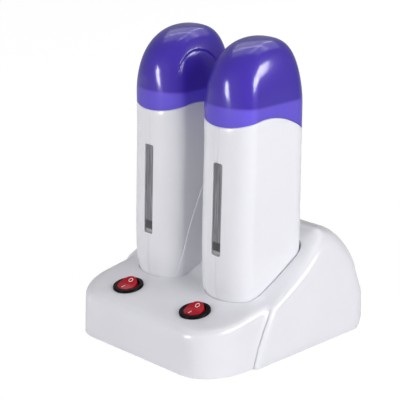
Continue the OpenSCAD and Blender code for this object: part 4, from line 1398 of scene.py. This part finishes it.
NODE_FINISH = {
    "base_plate": "plate_grey", "base_feet": "foot_rubber", "base_screws": "steel",
    "mains_inlet": "inlet_black", "inlet_pins": "steel", "lead_live": "lead_brown",
    "lead_neutral": "lead_blue", "lead_switched": "lead_black", "cradle_screws": "steel",
    "cradle_block": "socket_grey", "cradle_pins": "brass", "switch_terminals": "brass",
    "switch_plunger": "ivory", "switch_lever": "brass", "heating_plate": "ceramic",
    "plate_clamp": "spring_steel", "thermostat": "bakelite", "thermal_fuse": "fuse_tan",
    "contact_block": "socket_grey", "contact_sockets": "brass", "leads": "lead_red",
    "shell_screws": "steel", "cartridge_spring": "spring_steel",
}


def part_word(name: str) -> str:
    """A piece's name without its side and its ending."""
    for side in Side:
        name = name.removeprefix(f"{side.word}_")
    return name.removesuffix(SKIN)


@dataclass
class Wardrobe:
    """Makes each finish once and puts it on the pieces."""

    made: dict[str, bpy.types.Material] = field(default_factory=dict)

    def __post_init__(self) -> None:
        """Builds the shared groups and all the finishes."""
        moulding, brushing = moulding_group(), brushing_group()
        for name, finish in FINISHES.items():
            self.made[name] = finish.make(moulding, brushing)

    def wear(self, piece: bpy.types.Object, finish: str) -> None:
        """Gives all of a piece one finish."""
        if not piece.material_slots:
            piece.data.materials.append(None)
        for slot in piece.material_slots:
            slot.material = self.made[finish]

    def dress(self, pieces: Sequence[bpy.types.Object]) -> None:
        """Dresses the modelled pieces and names the record's slot of each.

        Args:
            pieces: The pieces.
        """
        for piece in pieces:
            finish, slot = PIECE_FINISH[part_word(piece.name)]
            piece.data.materials.clear()
            self.wear(piece, finish)
            LOG.info("%s: %d faces, finish %s", piece.name, len(piece.data.polygons), finish)

    def dress_nodes(self, nodes: dict[str, bpy.types.Object]) -> None:
        """Dresses the CAD nodes that stay.

        Args:
            nodes: All CAD nodes by name.
        """
        for name, node in nodes.items():
            finish = NODE_FINISH.get(part_word(name))
            if finish:
                self.wear(node, finish)
                LOG.info("%s: from the frame, finish %s", name, finish)


# ---------------------------------------------------------------- studio


SOFT_LAMPS = (
    ("right_softbox", (95, 20), 16.2), ("front_softbox", (5, 18), 9.8), ("left_softbox", (-65, 8), 6.6),
    ("top_softbox", (0, 88), 0.9), ("back_softbox", (200, 8), 3.5),
)

PANE_WAY, PANE_AIM = (-160, 65), (0, 0, 220)

GLINT_LAMPS = (
    ("nose_glint", (-14, 3), 0, (240, 520), 14, (0, 0, 200)),
    ("side_glint", (103, 18), 0, (1100, 370), 38, (35, 0, 200)),
    ("pane_glint", PANE_WAY, 0, (2300, 1500), 17, PANE_AIM),
    ("pane_bar_across", PANE_WAY, 20, (2300, 70), 4.5, PANE_AIM),
    ("pane_bar_along", PANE_WAY, 20, (70, 1500), 3, PANE_AIM),
)


@dataclass
class Studio:
    """The pale floor, the white surroundings, the lamps and the camera."""

    target: Colour = (-7.64, -10.56, 101.5)
    azimuth: float = 45.63
    elevation: float = 17.38
    distance: float = 1034.37
    lens: float = 126.404
    sensor: float = 36.0
    ambient: float = 0.12
    floor_half: float = 3.0
    floor_lift: float = 0.97
    floor_share: float = 0.07
    gloss_share: float = 0.35
    lamp_far: float = 1500.0

    def along(self, azimuth: float, elevation: float) -> Vector:
        """The direction from the object towards a place round it."""
        a, e = math.radians(azimuth), math.radians(elevation)
        return Vector((math.sin(a) * math.cos(e), -math.cos(a) * math.cos(e), math.sin(e)))

    def build_camera(self) -> None:
        """The camera at the photograph's place."""
        data = bpy.data.cameras.new("camera")
        data.lens, data.sensor_width, data.clip_end = self.lens, self.sensor, 50.0
        camera = bpy.data.objects.new("camera", data)
        back = self.along(self.azimuth, self.elevation)
        camera.location = (Vector(self.target) + back * self.distance) * METRES
        camera.rotation_euler = (-back).to_track_quat("-Z", "Y").to_euler()
        bpy.context.scene.collection.objects.link(camera)
        bpy.context.scene.camera = camera

    def seen_plainly(self, graph: Graph) -> bpy.types.NodeSocket:
        """How plainly a ray sees the white surroundings: fully by itself or in glass, less in gloss."""
        path, weaker = graph.add("LightPath"), graph.add("Math", operation="MULTIPLY")
        first, both = graph.add("Math", operation="MAXIMUM"), graph.add("Math", operation="MAXIMUM")
        graph.join(path.outputs["Is Glossy Ray"], weaker.inputs[0])
        weaker.inputs[1].default_value = self.gloss_share
        graph.join(path.outputs["Is Camera Ray"], first.inputs[0])
        graph.join(weaker.outputs["Value"], first.inputs[1])
        graph.join(first.outputs["Value"], both.inputs[0])
        graph.join(path.outputs["Is Transmission Ray"], both.inputs[1])
        return both.outputs["Value"]

    def build_world(self) -> None:
        """White surroundings that light the object softly."""
        world = bpy.data.worlds.new("surroundings")
        world.use_nodes = True
        world.node_tree.nodes.clear()
        graph = Graph(world.node_tree)
        out, mix = graph.add("OutputWorld"), graph.add("MixShader")
        soft = graph.add("Background", Color=(0.97, 0.98, 1.0, 1.0), Strength=self.ambient)
        white = graph.add("Background", Color=(1.0, 1.0, 1.0, 1.0), Strength=1.0)
        graph.join(self.seen_plainly(graph), mix.inputs["Fac"])
        graph.join(soft.outputs["Background"], mix.inputs[1])
        graph.join(white.outputs["Background"], mix.inputs[2])
        graph.join(mix.outputs["Shader"], out.inputs["Surface"])
        bpy.context.scene.world = world

    def build_floor(self) -> None:
        """A white floor that keeps the object's shadow."""
        mesh = bmesh.new()
        bmesh.ops.create_grid(mesh, x_segments=1, y_segments=1, size=self.floor_half)
        data = bpy.data.meshes.new("floor")
        mesh.to_mesh(data)
        mesh.free()
        floor = bpy.data.objects.new("floor", data)
        bpy.context.scene.collection.objects.link(floor)
        material = bpy.data.materials.new("floor")
        material.use_nodes = True
        material.node_tree.nodes.clear()
        graph = Graph(material.node_tree)
        out, mix = graph.add("OutputMaterial"), graph.add("MixShader")
        table, seen = graph.add("BsdfDiffuse"), graph.add("AddShader")
        table.inputs["Color"].default_value = (0.8, 0.8, 0.8, 1.0)
        share = self.floor_share
        shadow = graph.add("BsdfDiffuse")
        shadow.inputs["Color"].default_value = (share, share, share, 1.0)
        lift = graph.add("Emission", Strength=self.floor_lift)
        graph.join(shadow.outputs["BSDF"], seen.inputs[0])
        graph.join(lift.outputs["Emission"], seen.inputs[1])
        graph.join(self.seen_plainly(graph), mix.inputs["Fac"])
        graph.join(table.outputs["BSDF"], mix.inputs[1])
        graph.join(seen.outputs["Shader"], mix.inputs[2])
        graph.join(mix.outputs["Shader"], out.inputs["Surface"])
        data.materials.append(material)

    def lamp(self, name: str, way: tuple[float, float], far: float, size: tuple[float, float], power: float,
             at: Colour = (0.0, 0.0, 110.0), glints: bool = False) -> None:
        """A rectangular lamp that faces a point, for soft light or for glints alone.

        Args:
            name: Its name.
            way: Azimuth and elevation of the lamp, seen from that point.
            far: Its distance, in millimetres.
            size: Its width and height, in millimetres.
            power: Its power, in watts.
            at: The point.
            glints: Whether it shows in gloss and lights nothing else, or the other way round.
        """
        data = bpy.data.lights.new(name, "AREA")
        data.shape, data.size, data.size_y = "RECTANGLE", size[0] * METRES, size[1] * METRES
        data.energy = power
        lamp = bpy.data.objects.new(name, data)
        back = self.along(*way)
        lamp.location = (Vector(at) + back * far) * METRES
        lamp.rotation_euler = (-back).to_track_quat("-Z", "Y").to_euler()
        lamp.visible_diffuse, lamp.visible_glossy, lamp.visible_transmission = not glints, glints, False
        bpy.context.scene.collection.objects.link(lamp)

    def build(self) -> None:
        """Sets up the whole studio."""
        self.build_camera()
        self.build_world()
        self.build_floor()
        for name, way, power in SOFT_LAMPS:
            self.lamp(name, way, self.lamp_far, (900, 900), power)
        for name, way, nearer, size, power, at in GLINT_LAMPS:
            self.lamp(name, way, self.lamp_far - nearer, size, power, at=at, glints=True)
        bpy.context.scene.view_settings.view_transform = "Standard"


def main() -> None:
    """Builds the heaters, the switches and the station, dresses them and sets up the studio."""
    logging.basicConfig(level=logging.INFO, format="%(name)s: %(message)s")
    heaters = [Heater(side) for side in Side]
    switches = [Switch(side) for side in Side]
    pieces = [piece for thing in (*heaters, *switches) for piece in thing.build()]
    pieces.append(Station(heaters, switches).build())
    wardrobe = Wardrobe()
    wardrobe.dress(pieces)
    wardrobe.dress_nodes(frame["nodes"])
    Studio().build()


if __name__ == "__main__":
    main()
